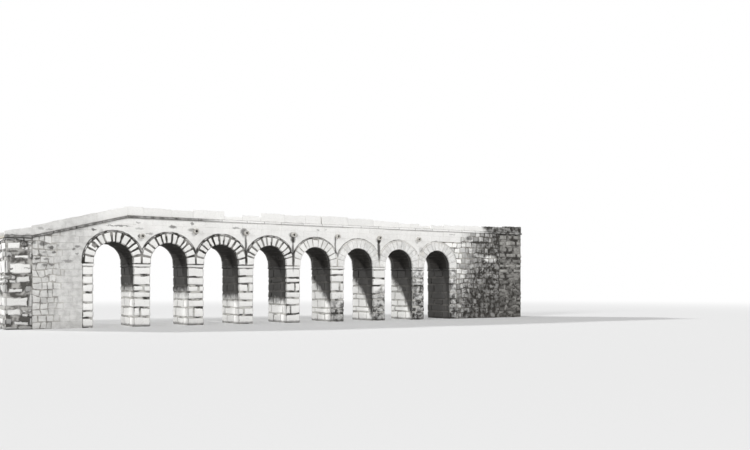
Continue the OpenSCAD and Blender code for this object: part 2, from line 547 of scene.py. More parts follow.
def weight_normals(piece: bpy.types.Object) -> None:
    """Keeps the broad faces of a piece's stones flat in the shading.

    Args:
        piece: the piece, whose faces are all smooth.
    """
    keep = piece.modifiers.new("flat_faces", "WEIGHTED_NORMAL")
    keep.mode = "FACE_AREA"
    keep.weight = FLAT_WEIGHT


# Finishes


class Amount:
    """A value that varies over a surface, with Math nodes behind Python's operators."""

    def __init__(self, tree: NodeTree, socket: bpy.types.NodeSocket) -> None:
        """Wraps an output socket of a node tree."""
        self.tree = tree
        self.socket = socket

    def _math(self, operation: str, *others: Amount | float, flipped: bool = False) -> Amount:
        """Joins this value with others by one Math node, as its second value when flipped."""
        values = [*others, self] if flipped else [self, *others]
        return self.tree.amount("ShaderNodeMath", {"operation": operation}, dict(enumerate(values)))

    def __add__(self, other: Amount | float) -> Amount:
        """Sum."""
        return self._math("ADD", other)

    __radd__ = __add__

    def __sub__(self, other: Amount | float) -> Amount:
        """Difference."""
        return self._math("SUBTRACT", other)

    def __rsub__(self, other: Amount | float) -> Amount:
        """Difference from a number."""
        return self._math("SUBTRACT", other, flipped=True)

    def __mul__(self, other: Amount | float) -> Amount:
        """Product."""
        return self._math("MULTIPLY", other)

    __rmul__ = __mul__

    def __abs__(self) -> Amount:
        """Size without its sign."""
        return self._math("ABSOLUTE")

    def hold(self, low: float, high: float) -> Amount:
        """Value held from low to high."""
        return self._math("MINIMUM", high)._math("MAXIMUM", low)

    def clamp(self) -> Amount:
        """Value held from 0 to 1."""
        return self.hold(0.0, 1.0)

    def hypot(self, other: Amount) -> Amount:
        """Length of the slanting side over this and another value."""
        return (self * self + other * other)._math("SQRT")

    def fold(self, half: float) -> Amount:
        """Distance from the nearest whole multiple of twice the half."""
        return self._math("PINGPONG", half)

    def ramp(self, start: float, stop: float) -> Amount:
        """Rises smoothly from 0 to 1, with t as the share of the way and 3t^2 - 2t^3 as the rise.

        Args:
            start: value at which the rise is 0.
            stop: value at which it is 1; it may be the smaller.

        Returns:
            The rise.
        """
        low, high = min(start, stop), max(start, stop)
        ends = {"To Min": 0.0, "To Max": 1.0} if start < stop else {"To Min": 1.0, "To Max": 0.0}
        settings = {"interpolation_type": "SMOOTHSTEP", "clamp": True}
        inputs = {"Value": self, "From Min": low, "From Max": high, **ends}
        return self.tree.amount("ShaderNodeMapRange", settings, inputs)


class NodeTree:
    """Nodes of a material or of the sky, all added through one method."""

    def __init__(self, tree: bpy.types.NodeTree) -> None:
        """Starts from an empty tree."""
        self.tree = tree
        self.tree.nodes.clear()

    def node(self, kind: str, settings: Settings | None = None, inputs: Inputs | None = None) -> bpy.types.Node:
        """Adds one node.

        Args:
            kind: Blender's type of the node.
            settings: its own settings, set first.
            inputs: values or links of its sockets, by name or place.

        Returns:
            The node.
        """
        made = self.tree.nodes.new(kind)
        for name, value in (settings or {}).items():
            setattr(made, name, value)
        for name, value in (inputs or {}).items():
            self.feed(made.inputs[name], value)
        return made

    def feed(self, socket: bpy.types.NodeSocket, value: object) -> None:
        """Feeds an input.

        Args:
            socket: the input.
            value: value or socket that is linked to it, or a plain number or colour that it is set to.
        """
        if isinstance(value, Amount):
            self.tree.links.new(value.socket, socket)
        elif isinstance(value, bpy.types.NodeSocket):
            self.tree.links.new(value, socket)
        elif isinstance(value, tuple) and socket.type == "RGBA":
            socket.default_value = (*value, 1.0)
        else:
            socket.default_value = value

    def amount(self, kind: str, settings: Settings, inputs: Inputs) -> Amount:
        """Adds a node and returns its first output."""
        return Amount(self, self.node(kind, settings, inputs).outputs[0])

    def rays(self, *kinds: str) -> Amount:
        """1 for the named kinds of rays and 0 for the rest, out of the Light Path node's outputs."""
        outputs = self.node("ShaderNodeLightPath").outputs
        return sum((Amount(self, outputs[kind]) for kind in kinds), 0.0).clamp()


@dataclass(frozen=True)
class Waves:
    """A noise: waves a metre, number of finer layers, and a shift and a stretch that set it apart."""

    scale: float
    detail: float
    shift: float = 0.0
    stretch: Triple = (1.0, 1.0, 1.0)


BROAD = Waves(0.9, 3.0)
MIDDLE = Waves(4.5, 4.0, 7.0)
FINE = Waves(28.0, 3.0, 3.0)
PITS = Waves(75.0, 2.0, 11.0)
SPECKS = Waves(16.0, 4.0, 5.0)
MOTTLES = Waves(2.8, 2.0, 13.0)
STREAKS = Waves(1.0, 3.0, 2.0, (4.0, 4.0, 0.7))
RING_WAVER = Waves(6.0, 2.0, 19.0)
RING_BREAKS = Waves(2.2, 2.0, 17.0)


class Paint(NodeTree):
    """Node tree of one material, with its shader node and the piece's own coordinates."""

    noise_roughness: ClassVar[float] = 0.6

    def __init__(self, name: str) -> None:
        """Makes the material with a single shader.

        Args:
            name: name of the material.
        """
        self.material = bpy.data.materials.new(name)
        self.material.use_nodes = True
        super().__init__(self.material.node_tree)
        self.shader = self.node("ShaderNodeBsdfPrincipled")
        self.output = self.node("ShaderNodeOutputMaterial", inputs={"Surface": self.shader.outputs[0]})
        self.place = self.node("ShaderNodeTexCoord").outputs["Object"]
        split = self.node("ShaderNodeSeparateXYZ", inputs={0: self.place})
        self.x, self.y, self.z = (Amount(self, socket) for socket in split.outputs)

    def vector(self, operation: str, *values: object) -> bpy.types.Node:
        """Adds a Vector Math node on values or links."""
        return self.node("ShaderNodeVectorMath", {"operation": operation}, dict(enumerate(values)))

    def attribute(self, name: str) -> Amount:
        """Value of a mesh attribute."""
        made = self.node("ShaderNodeAttribute", {"attribute_type": "GEOMETRY", "attribute_name": name})
        return Amount(self, made.outputs["Fac"])

    def noise(self, waves: Waves) -> Amount:
        """Lays noise over the piece.

        Args:
            waves: its scale, detail, shift and stretch.

        Returns:
            The noise, from 0 to 1.
        """
        moved = self.vector("MULTIPLY_ADD", self.place, waves.stretch, (waves.shift,) * 3)
        inputs = {"Scale": waves.scale, "Detail": waves.detail, "Roughness": self.noise_roughness}
        return self.amount("ShaderNodeTexNoise", {}, {"Vector": moved.outputs[0], **inputs})

    def bent(self, scale: float, reach: float) -> bpy.types.NodeSocket:
        """Bends the piece's coordinates, so that what is drawn on them has an uneven rim.

        Args:
            scale: waves a metre of the noise that bends them.
            reach: twice the distance by which a place moves at most, along each axis.

        Returns:
            The bent coordinates.
        """
        waves = self.node("ShaderNodeTexNoise", {}, {"Vector": self.place, "Scale": scale, "Detail": 3.0})
        moved = self.vector("MULTIPLY_ADD", waves.outputs["Color"], (reach,) * 3, (-reach / 2,) * 3)
        return self.vector("ADD", self.place, moved.outputs[0]).outputs[0]

    def mix(self, factor: Amount | float, first: object, second: object) -> bpy.types.NodeSocket:
        """Colour between two colours."""
        settings = {"data_type": "RGBA", "clamp_factor": True}
        return self.node("ShaderNodeMix", settings, {0: factor, 6: first, 7: second}).outputs[2]

    def shade(self, colour: object, factor: Amount) -> bpy.types.NodeSocket:
        """Colour times a value."""
        made = self.node("ShaderNodeVectorMath", {"operation": "SCALE"}, {0: colour, "Scale": factor})
        return made.outputs[0]

    def set(self, **sockets: object) -> None:
        """Feeds sockets of the shader, named with _ for a space."""
        for name, value in sockets.items():
            self.feed(self.shader.inputs[name.replace("_", " ")], value)


@dataclass(frozen=True)
class Mark:
    """A dark stain, hole or open bed on the faces of the walls: an ellipse with a soft rim."""

    x: float
    z: float
    half_x: float
    half_z: float
    strength: float
    rim: ClassVar[Range] = (1.25, 0.55)

    def amount(self, paint: Paint, place: bpy.types.NodeSocket) -> Amount:
        """Fades by the length of the place from the middle, measured in half sizes.

        Args:
            paint: material that is being made.
            place: coordinates, bent a little by noise.

        Returns:
            How dark the mark is, from 0 to 1.
        """
        scale = (1 / self.half_x, 0.0, 1 / self.half_z)
        shift = (-self.x / self.half_x, 0.0, -self.z / self.half_z)
        moved = paint.vector("MULTIPLY_ADD", place, scale, shift)
        off = paint.vector("LENGTH", moved.outputs[0])
        return Amount(paint, off.outputs["Value"]).ramp(*self.rim) * self.strength


@dataclass(frozen=True)
class Shade:
    """Darkening that grows along the bridge from one place to another.

    Its places move along by the lean for each metre of height, and it fades over the top. The more
    contrast it has, the more it is mottled.
    """

    start: float
    full: float
    amount: float
    top: float = 9.0
    lean: float = 0.0
    faces_only: bool = False
    contrast: float = 0.5
    waver_x: ClassVar[float] = 1.4
    waver_z: ClassVar[float] = 1.6
    fade: ClassVar[float] = 0.3
    mottles: ClassVar[Range] = (0.36, 0.64)

    def grown(self, paint: Paint, broad: Amount, middle: Amount) -> Amount:
        """Grows along the bridge times fades over the top, mottled by the quicker noise.

        Args:
            paint: material that is being made.
            broad: slow noise, which makes the borders waver.
            middle: quicker noise.

        Returns:
            How dark the stone is, from 0 to 1.
        """
        along = (paint.x + paint.z * self.lean + (broad - 0.5) * self.waver_x).ramp(self.start, self.full)
        below = (paint.z + (broad - 0.5) * self.waver_z).ramp(self.top + self.fade, self.top - self.fade)
        mottle = middle.ramp(*self.mottles) * self.contrast + (1 - self.contrast / 2)
        return (along * below * mottle * self.amount).clamp()


@dataclass(frozen=True)
class StoneFinish:
    """Colours, wear and painted shade of one kind of masonry. Amounts are from 0 to 1."""

    name: str
    pale: Colour
    dark: Colour
    # Colour that dirt and painted shade darken towards.
    grime_and_shade: Colour = (0.040, 0.037, 0.033)
    patches: float = 0.5
    stone_tint: float = 0.06
    # Darkening along the stones' edges: dirt and painted shade at the joints.
    edge_dirt_and_shade: float = 0.35
    mottled: bool = False
    # Soot and painted shade under the arches.
    soot_and_shade: float = 0.0
    drips: float = 0.0
    pits: float = 0.0
    streaks: float = 0.0
    damp: float = 0.2
    foot: float = 0.0
    # Painted shadow line round the arch rings.
    ring_shadow_line: float = 0.0
    # Painted light: weakens the patches and edge darkening inside the arches.
    pale_inside: float = 0.0
    shades: tuple[Shade, ...] = ()
    speck: float = 0.3
    roughness: float = 0.9
    bump: float = 0.5
    gloss: ClassVar[float] = 0.25
    grain: ClassVar[float] = 0.2
    relief_depth: ClassVar[float] = 0.02
    broad_range: ClassVar[Range] = (0.42, 0.72)
    middle_range: ClassVar[Range] = (0.45, 0.72)
    mottle_range: ClassVar[Range] = (0.40, 0.60)
    speck_range: ClassVar[Range] = (0.56, 0.74)
    streak_range: ClassVar[Range] = (0.52, 0.75)
    streak_h: ClassVar[float] = 1.5
    stain_bend: ClassVar[Range] = (9.0, 0.085)
    mark_bend: ClassVar[Range] = (11.0, 0.13)
    foot_line: ClassVar[Range] = (0.13, 0.05)
    damp_h: ClassVar[float] = 0.5
    # Line of the soot and painted shade under the arches, and how it sinks, slants and bends.
    soot_shade_line: ClassVar[Range] = (1.25, 1.75)
    soot_shade_sink: ClassVar[float] = 0.55
    soot_shade_slant: ClassVar[float] = 0.42
    soot_shade_lean: ClassVar[float] = 0.69
    soot_shade_bow: ClassVar[float] = 0.6
    soot_shade_end: ClassVar[float] = 3.0
    jamb_fade: ClassVar[float] = 0.2
    bow_reach: ClassVar[Range] = (0.1, -0.95)
    line_edge: ClassVar[Range] = (0.045, 0.012)
    line_waver: ClassVar[float] = 0.05
    line_least: ClassVar[float] = 0.2
    line_breaks: ClassVar[Range] = (0.25, 0.45)
    line_fades: ClassVar[Range] = (2.4, 4.4)
    line_fade: ClassVar[float] = 0.17

    def paint(self, form: BridgeForm) -> bpy.types.Material:
        """Makes the material.

        Args:
            form: sizes that its stains follow.

        Returns:
            The material.
        """
        paint = Paint(self.name)
        broad, middle, fine = paint.noise(BROAD), paint.noise(MIDDLE), paint.noise(FINE)
        patch = (broad.ramp(*self.broad_range) * 0.6 + middle.ramp(*self.middle_range) * 0.4) * self.patches
        if self.mottled:
            patch = paint.noise(MOTTLES).ramp(*self.mottle_range)
        inside = abs(paint.y).ramp(form.wall_y + 0.01, form.wall_y - 0.07)
        # Inside the arches the patches and edge darkening are weakened, painted light that keeps the lit reveals pale.
        patch = patch * (1.0 - inside * self.pale_inside)
        colour = paint.mix(patch, self.pale, self.dark)
        tint = paint.attribute(TINT) * self.stone_tint + 1.0
        colour = paint.shade(colour, tint + (fine - 0.5) * self.grain)
        # Mixes in the dirt and the painted shade.
        colour = paint.mix(self.dirt_and_shade(paint, form, broad, middle, inside), colour, self.grime_and_shade)
        relief = middle * 0.5 + fine * 0.35 + paint.noise(PITS) * 0.15
        inputs = {"Strength": self.bump, "Distance": self.relief_depth, "Height": relief}
        bump = paint.node("ShaderNodeBump", {}, inputs)
        rough = (self.roughness - (middle - 0.5) * 0.1).clamp()
        paint.set(Base_Color=colour, Roughness=rough, Normal=bump.outputs[0], Specular_IOR_Level=self.gloss)
        return paint.material

    def dirt_and_shade(self, paint: Paint, form: BridgeForm, broad: Amount, middle: Amount, inside: Amount) -> Amount:
        """Adds up the dirt and the painted shade, as what each kind leaves clean and lit.

        Args:
            paint: material that is being made.
            form: sizes that the stains follow.
            broad: slow noise.
            middle: quicker noise.
            inside: 1 under the arches and 0 on the long faces.

        Returns:
            How far the stone is darkened by grime and painted shade, from 0 to 1.
        """
        clean_and_lit = 1.0 - (paint.noise(SPECKS).ramp(*self.speck_range) * (self.speck * 0.5))
        # Darker stone edges at the joints: dirt and painted shade.
        lined = paint.attribute(ARRIS) * self.edge_dirt_and_shade * (1.0 - inside * self.pale_inside)
        clean_and_lit = clean_and_lit * (1.0 - lined.clamp())
        stained = ((SPOUT_STAINS, self.drips, self.stain_bend), (WALL_MARKS, self.pits, self.mark_bend))
        for table, strength, bend in stained:
            if strength:
                stains = self.marked(paint, table, bend)
                clean_and_lit = clean_and_lit * (1.0 - (stains * (1.0 - inside) * strength).clamp())
        if self.streaks:
            lines = paint.noise(STREAKS).ramp(*self.streak_range)
            high = paint.z.ramp(float(form.deck_z.max()) - self.streak_h, float(form.deck_z.max()))
            clean_and_lit = clean_and_lit * (1.0 - lines * high * self.streaks)
        # Painted shadow line round the arch rings.
        if self.ring_shadow_line:
            clean_and_lit = clean_and_lit * (1.0 - self.shadow_round_rings(paint, form) * self.ring_shadow_line)
        # Soot and painted shade under the arches.
        if self.soot_and_shade:
            clean_and_lit = clean_and_lit * (1.0 - (inside * self.sooted_and_shaded(paint, form, middle) * self.soot_and_shade).clamp())
        bare = self.marked(paint, BARE_STONES, self.stain_bend).clamp() if self.pits else 0.0
        for shade in self.shades:
            grown = shade.grown(paint, broad, middle) * (1.0 - bare)
            clean_and_lit = clean_and_lit * (1.0 - (grown * (1.0 - inside) if shade.faces_only else grown))
        if self.foot:
            clean_and_lit = clean_and_lit * (1.0 - (paint.z + (middle - 0.5) * 0.1).ramp(*self.foot_line) * self.foot)
        damp = (paint.z + (middle - 0.5) * self.damp_h).ramp(self.damp_h, 0.0)
        return 1.0 - clean_and_lit * (1.0 - damp * self.damp)

    @staticmethod
    def marked(paint: Paint, table: Sequence[Mark], bend: Range) -> Amount:
        """Sum of marks on coordinates that are bent by that scale and reach."""
        bent = paint.bent(*bend)
        return sum((mark.amount(paint, bent) for mark in table), 0.0)

    def sooted_and_shaded(self, paint: Paint, form: BridgeForm, middle: Amount) -> Amount:
        """Paints soot and shade on the vaults and the piers' sides, down to a line.

        The line sinks from arch to arch up to the fourth. From the fifth on it also slants, down to the
        near face, and from the sixth on it bends to the foot there, as the light through the arches falls:
        a painted shade. The last abutment is black all over.

        Args:
            paint: material that is being made.
            form: sizes that the soot follows.
            middle: quicker noise, which makes the line waver.

        Returns:
            How sooty a place under the arches is, from 0 to 1.
        """
        jamb = (form.arch_x + form.clear_r).tolist()
        sunk = paint.x.ramp(jamb[0], jamb[3]) * self.soot_shade_sink
        slant = paint.x.ramp(jamb[3] + self.jamb_fade, jamb[4] - self.jamb_fade)
        bow = paint.x.ramp(jamb[4] + self.jamb_fade, jamb[5] - self.jamb_fade)
        bow = bow * paint.y.ramp(*self.bow_reach) * self.soot_shade_bow
        last = paint.x.ramp(jamb[-1] - 0.3, jamb[-1] - 0.1) * self.soot_shade_end
        height = paint.z + sunk - slant * self.soot_shade_slant - paint.y * slant * self.soot_shade_lean + bow + last
        return (height + (middle - 0.5) * 0.5).ramp(*self.soot_shade_line)

    def shadow_round_rings(self, paint: Paint, form: BridgeForm) -> Amount:
        """Paints a dark line round the arch rings: a painted shadow where the rings meet the walls.

        It is near 1 where a point's distance from the arch centre is the ring's, and noise breaks
        it, more so from the seventh arch on.

        Args:
            paint: material that is being made.
            form: sizes that the line follows.

        Returns:
            How dark the line is, from 0 to 1.
        """
        first, last = float(form.arch_x[0]), float(form.arch_x[-1])
        among = paint.x.hold(first, last)
        from_crown = (among - first).fold(form.pitch / 2) + abs(paint.x - among)
        above = (paint.z - form.centre_z).hold(0.0, 100.0)
        waver = (paint.noise(RING_WAVER) - 0.5) * self.line_waver
        off_ring = abs(from_crown.hypot(above) - form.extrados_r + waver)
        over = paint.z.ramp(form.springing_z - 0.02, form.springing_z)
        whole = paint.noise(RING_BREAKS) - (paint.x.ramp(*self.line_fades) * self.line_fade)
        kept = whole.ramp(*self.line_breaks) * (1.0 - self.line_least) + self.line_least
        return off_ring.ramp(*self.line_edge) * over * kept


def marks(*rows: tuple[float, float, float, float, float]) -> tuple[Mark, ...]:
    """Marks from rows of place, height, half sizes and strength."""
    return tuple(Mark(*row) for row in rows)


SPOUT_STAINS = marks(
    (-7.59, 3.64, 0.072, 0.08, 0.9), (-5.37, 3.95, 0.24, 0.08, 0.6), (-5.25, 3.88, 0.08, 0.13, 0.8),
    (-3.09, 3.95, 0.17, 0.16, 0.8), (-3.0, 3.22, 0.06, 0.68, 0.9), (-0.74, 3.9, 0.23, 0.12, 0.85),
    (-0.75, 3.7, 0.13, 0.15, 0.8), (-0.75, 3.02, 0.07, 0.72, 0.85), (1.4, 3.49, 0.042, 0.53, 0.75),
    (3.76, 3.8, 0.115, 0.15, 1.0), (3.74, 3.34, 0.085, 0.57, 0.95), (6.16, 3.4, 0.13, 0.14, 0.3),
)
WALL_MARKS = marks(
    (-9.38, 3.84, 0.12, 0.046, 0.8), (-10.15, 3.06, 0.062, 0.064, 0.75), (-10.0, 3.17, 0.113, 0.055, 0.6),
    (-10.03, 2.88, 0.064, 0.046, 0.6), (-10.36, 2.59, 0.2, 0.055, 0.55), (-11.54, 2.46, 0.092, 0.054, 0.6),
    (-9.26, 3.56, 0.082, 0.073, 0.65), (-9.08, 3.71, 0.12, 0.17, 0.3), (-8.44, 4.02, 0.53, 0.028, 0.7),
    (-7.63, 4.18, 0.1, 0.034, 0.45), (-7.59, 3.94, 0.18, 0.038, 0.35), (-7.2, 3.75, 0.16, 0.034, 0.5),
    (-6.22, 4.05, 0.17, 0.076, 0.72), (-5.4, 4.23, 0.075, 0.07, 0.65), (-3.45, 4.11, 0.2, 0.04, 0.55),
    (0.51, 4.16, 0.077, 0.038, 0.6), (0.91, 4.2, 0.065, 0.041, 0.3), (8.06, 4.2, 0.22, 0.035, 0.35),
    (7.23, 3.74, 0.43, 0.025, 0.35), (8.6, 3.78, 0.25, 0.03, 0.55), (9.85, 3.85, 0.75, 0.075, 0.95),
    (9.15, 4.04, 0.24, 0.12, 0.75), (11.05, 4.11, 0.1, 0.4, 0.85), (10.1, 3.3, 0.16, 0.077, 0.5),
    (-11.61, 3.25, 0.092, 0.049, 0.6), (-11.25, 3.24, 0.165, 0.087, 0.7), (-10.97, 3.09, 0.11, 0.072, 0.85),
    (-10.88, 2.9, 0.08, 0.061, 0.8), (-10.72, 3.18, 0.051, 0.054, 0.35), (-11.38, 2.81, 0.086, 0.083, 0.7),
    (-11.22, 2.92, 0.065, 0.061, 0.5), (-11.46, 2.67, 0.121, 0.042, 0.9), (-11.16, 2.66, 0.115, 0.038, 0.65),
    (-11.2, 2.43, 0.093, 0.053, 0.65), (-10.96, 2.44, 0.11, 0.05, 0.65), (-11.33, 3.82, 0.114, 0.068, 0.6),
    (-11.02, 3.78, 0.13, 0.038, 0.5), (-12.33, 2.93, 0.225, 0.052, 0.9), (-11.89, 2.92, 0.211, 0.041, 0.55),
    (-12.46, 2.67, 0.05, 0.149, 0.85), (-12.03, 2.59, 0.21, 0.056, 0.85), (-11.93, 3.18, 0.056, 0.197, 0.8),
    (-12.12, 3.33, 0.122, 0.05, 0.85), (-12.3, 3.53, 0.113, 0.04, 0.85), (-11.8, 3.56, 0.114, 0.035, 0.55),
    (-12.46, 3.34, 0.064, 0.043, 0.7), (-12.39, 2.27, 0.064, 0.048, 0.9), (-11.66, 2.73, 0.053, 0.16, 0.7),
    (-11.81, 2.3, 0.132, 0.036, 0.6),
)
BARE_STONES = marks((10.5, 3.03, 0.42, 0.19, 0.72), (11.9, 4.22, 0.26, 0.12, 0.5))
LIMESTONE: Colour = (0.915, 0.908, 0.888)
GREY_LIMESTONE: Colour = (0.72, 0.71, 0.685)
# Near-black of the soot and painted shade under the arches.
SOOT_AND_SHADE_BLACK: Colour = (0.020, 0.018, 0.016)
WEST_SHADE = Shade(-8.7, -9.9, 0.30)
RAMP_SHADE = Shade(-8.5, -9.7, 0.22)
EAST_SHADE = Shade(5.9, 8.8, 0.85, lean=-0.55)
RING_STONE = StoneFinish(
    "ring_stone", LIMESTONE, GREY_LIMESTONE, SOOT_AND_SHADE_BLACK, soot_and_shade=0.95, drips=0.9, edge_dirt_and_shade=0.42, damp=0.0,
    shades=(Shade(0.6, 1.6, 0.10, faces_only=True, contrast=1.7),),
)
LABEL_STONE = StoneFinish(
    "label_stone", LIMESTONE, (0.62, 0.61, 0.585), SOOT_AND_SHADE_BLACK, patches=0.9, soot_and_shade=0.95, drips=0.9, edge_dirt_and_shade=0.4,
    damp=0.0, shades=(Shade(3.6, -0.6, 0.72, contrast=1.4),),
)
PIER_STONE = StoneFinish(
    "pier_stone", LIMESTONE, GREY_LIMESTONE, SOOT_AND_SHADE_BLACK, soot_and_shade=0.95, drips=0.9, edge_dirt_and_shade=0.48, foot=0.6,
    pale_inside=0.6,
    shades=(
        Shade(0.0, 1.6, 0.60, top=1.15, lean=-0.3, faces_only=True, contrast=1.1),
        Shade(4.4, 5.6, 0.42, top=2.4, faces_only=True, contrast=1.6),
    ),
)
WALL_STONE = StoneFinish(
    "wall_stone", LIMESTONE, GREY_LIMESTONE, drips=0.95, pits=0.95, streaks=0.05, edge_dirt_and_shade=0.05, ring_shadow_line=0.85,
    shades=(WEST_SHADE, EAST_SHADE, Shade(8.6, 9.8, 0.30, top=2.0, contrast=0.2)),
)
WEST_END_STONE = StoneFinish(
    "west_end_stone", LIMESTONE, (0.66, 0.645, 0.615), patches=0.4, stone_tint=0.5, edge_dirt_and_shade=0.6, foot=0.5, pits=0.95
)
EAST_END_STONE = StoneFinish(
    "east_end_stone", (0.55, 0.54, 0.51), (0.24, 0.23, 0.215), patches=1.0, stone_tint=0.40, edge_dirt_and_shade=0.8, foot=0.5,
    shades=(Shade(9.0, 10.0, 0.42), Shade(9.0, 10.0, 0.60, top=2.2, contrast=0.3)),
)
# The last shade darkens the string course's east end with the parapet: painted shade.
STRING_STONE = StoneFinish(
    "string_stone", LIMESTONE, GREY_LIMESTONE, edge_dirt_and_shade=0.6, damp=0.0,
    shades=(Shade(-4.0, -5.0, 0.74, contrast=0.35), Shade(-8.8, -9.6, 0.15), Shade(9.6, 10.4, 0.82)),
)
# The last shade darkens the parapet's east end: painted shade.
SLAB_STONE = StoneFinish(
    "slab_stone", LIMESTONE, (0.80, 0.79, 0.765), stone_tint=0.035, edge_dirt_and_shade=0.5, pits=0.7, damp=0.0,
    shades=(RAMP_SHADE, Shade(10.0, 10.4, 0.85)),
)
# The vault stones are dark in themselves: soot and painted shade of the vaults.
VAULT_SOOT_AND_SHADE_STONE = StoneFinish(
    "vault_stone", (0.30, 0.28, 0.25), (0.16, 0.15, 0.13), SOOT_AND_SHADE_BLACK, soot_and_shade=0.95, edge_dirt_and_shade=0.5, damp=0.0
)
SPOUT_STONE = StoneFinish("spout_stone", (0.60, 0.585, 0.55), (0.36, 0.345, 0.31), edge_dirt_and_shade=0.0, damp=0.0)
ROAD_STONE = StoneFinish(
    "road_stone", pale=(0.56, 0.53, 0.46), dark=(0.36, 0.33, 0.28), patches=0.9, edge_dirt_and_shade=0.0, damp=0.0, bump=0.8
)
DARK_MORTAR = StoneFinish(
    "dark_mortar", (0.30, 0.292, 0.275), (0.045, 0.042, 0.038), mottled=True, stone_tint=0.0, edge_dirt_and_shade=0.0,
    soot_and_shade=0.9, drips=0.9, bump=0.8,
)
GREY_MORTAR = replace(DARK_MORTAR, name="grey_mortar", pale=(0.74, 0.72, 0.68), dark=(0.34, 0.325, 0.30))
PIER_MORTAR = replace(
    DARK_MORTAR, name="pier_mortar", pale=(0.56, 0.55, 0.52), dark=(0.040, 0.038, 0.035), pale_inside=0.6
)
QUOIN_MORTAR = replace(
    DARK_MORTAR, name="quoin_mortar", pale=(0.46, 0.45, 0.43), dark=(0.09, 0.086, 0.08), soot_and_shade=0.0, drips=0.0, pits=0.95
)
EAST_MORTAR = replace(
    QUOIN_MORTAR, name="east_mortar", pale=(0.56, 0.54, 0.50), dark=(0.18, 0.17, 0.155), pits=0.9, ring_shadow_line=0.7,
    shades=(EAST_SHADE,),
)
RING_MORTAR = replace(
    DARK_MORTAR, name="ring_mortar", pale=(0.74, 0.72, 0.68), dark=(0.60, 0.58, 0.54), mottled=False, soot_and_shade=0.95
)
LIGHT_MORTAR = replace(
    RING_MORTAR, name="light_mortar", soot_and_shade=0.0, pits=0.9, ring_shadow_line=0.95,
    shades=(WEST_SHADE, Shade(-10.6, -11.2, 0.42, contrast=0.9)),
)
RUBBLE_EARTH = StoneFinish(
    "rubble_earth", pale=(0.30, 0.26, 0.21), dark=(0.18, 0.15, 0.12), stone_tint=0.0, edge_dirt_and_shade=0.0, bump=1.0
)


# Pieces


@dataclass(frozen=True)
class Piece(ABC):
    """One dressed piece of the bridge."""

    form: BridgeForm
    name: str
    slot: Slot
    seed: int
    finishes: tuple[StoneFinish, ...]
    stands_for: tuple[str, ...] = ()

    @cached_property
    def rng(self) -> np.random.Generator:
        """Source of the piece's random sizes, places and tones."""
        return np.random.default_rng(self.seed)

    def run_joints(self, start: float, stop: float, shortest: float, longest: float) -> Array:
        """Places the joints of a course: random lengths, stretched to fill the run.

        Args:
            start: start of the run.
            stop: end of the run.
            shortest: least length before stretching.
            longest: greatest length before stretching.

        Returns:
            Places of the joints, both ends included.
        """
        count = max(1, round((stop - start) / ((shortest + longest) / 2)))
        lengths = np.cumsum(self.rng.uniform(shortest, longest, count))
        return np.concatenate([[start], start + lengths * (stop - start) / lengths[-1]])

    def even_joints(self, start: float, stop: float, length: float, uneven: float) -> Array:
        """Joints of a course whose lengths are one length, more or less by up to the uneven share."""
        return self.run_joints(start, stop, length * (1 - uneven), length * (1 + uneven))

    @abstractmethod
    def shape(self) -> StoneMesh:
        """Works out the stones of the piece.

        Returns:
            The piece's stones.
        """

    def place(self, materials: Sequence[bpy.types.Material]) -> bpy.types.Object:
        """Builds, dresses and seats the piece on the frame.

        Args:
            materials: one for each of its finishes.

        Returns:
            The finished object.
        """
        work = self.shape()
        made = work.build(self.name)
        for material in materials:
            made.data.materials.append(material)
        weight_normals(made)
        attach(made, BODY)
        if self.stands_for:
            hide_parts(*self.stands_for)
        LOG.info("%s: %d stones, %d faces", self.name, work.stones, len(made.data.polygons))
        return made


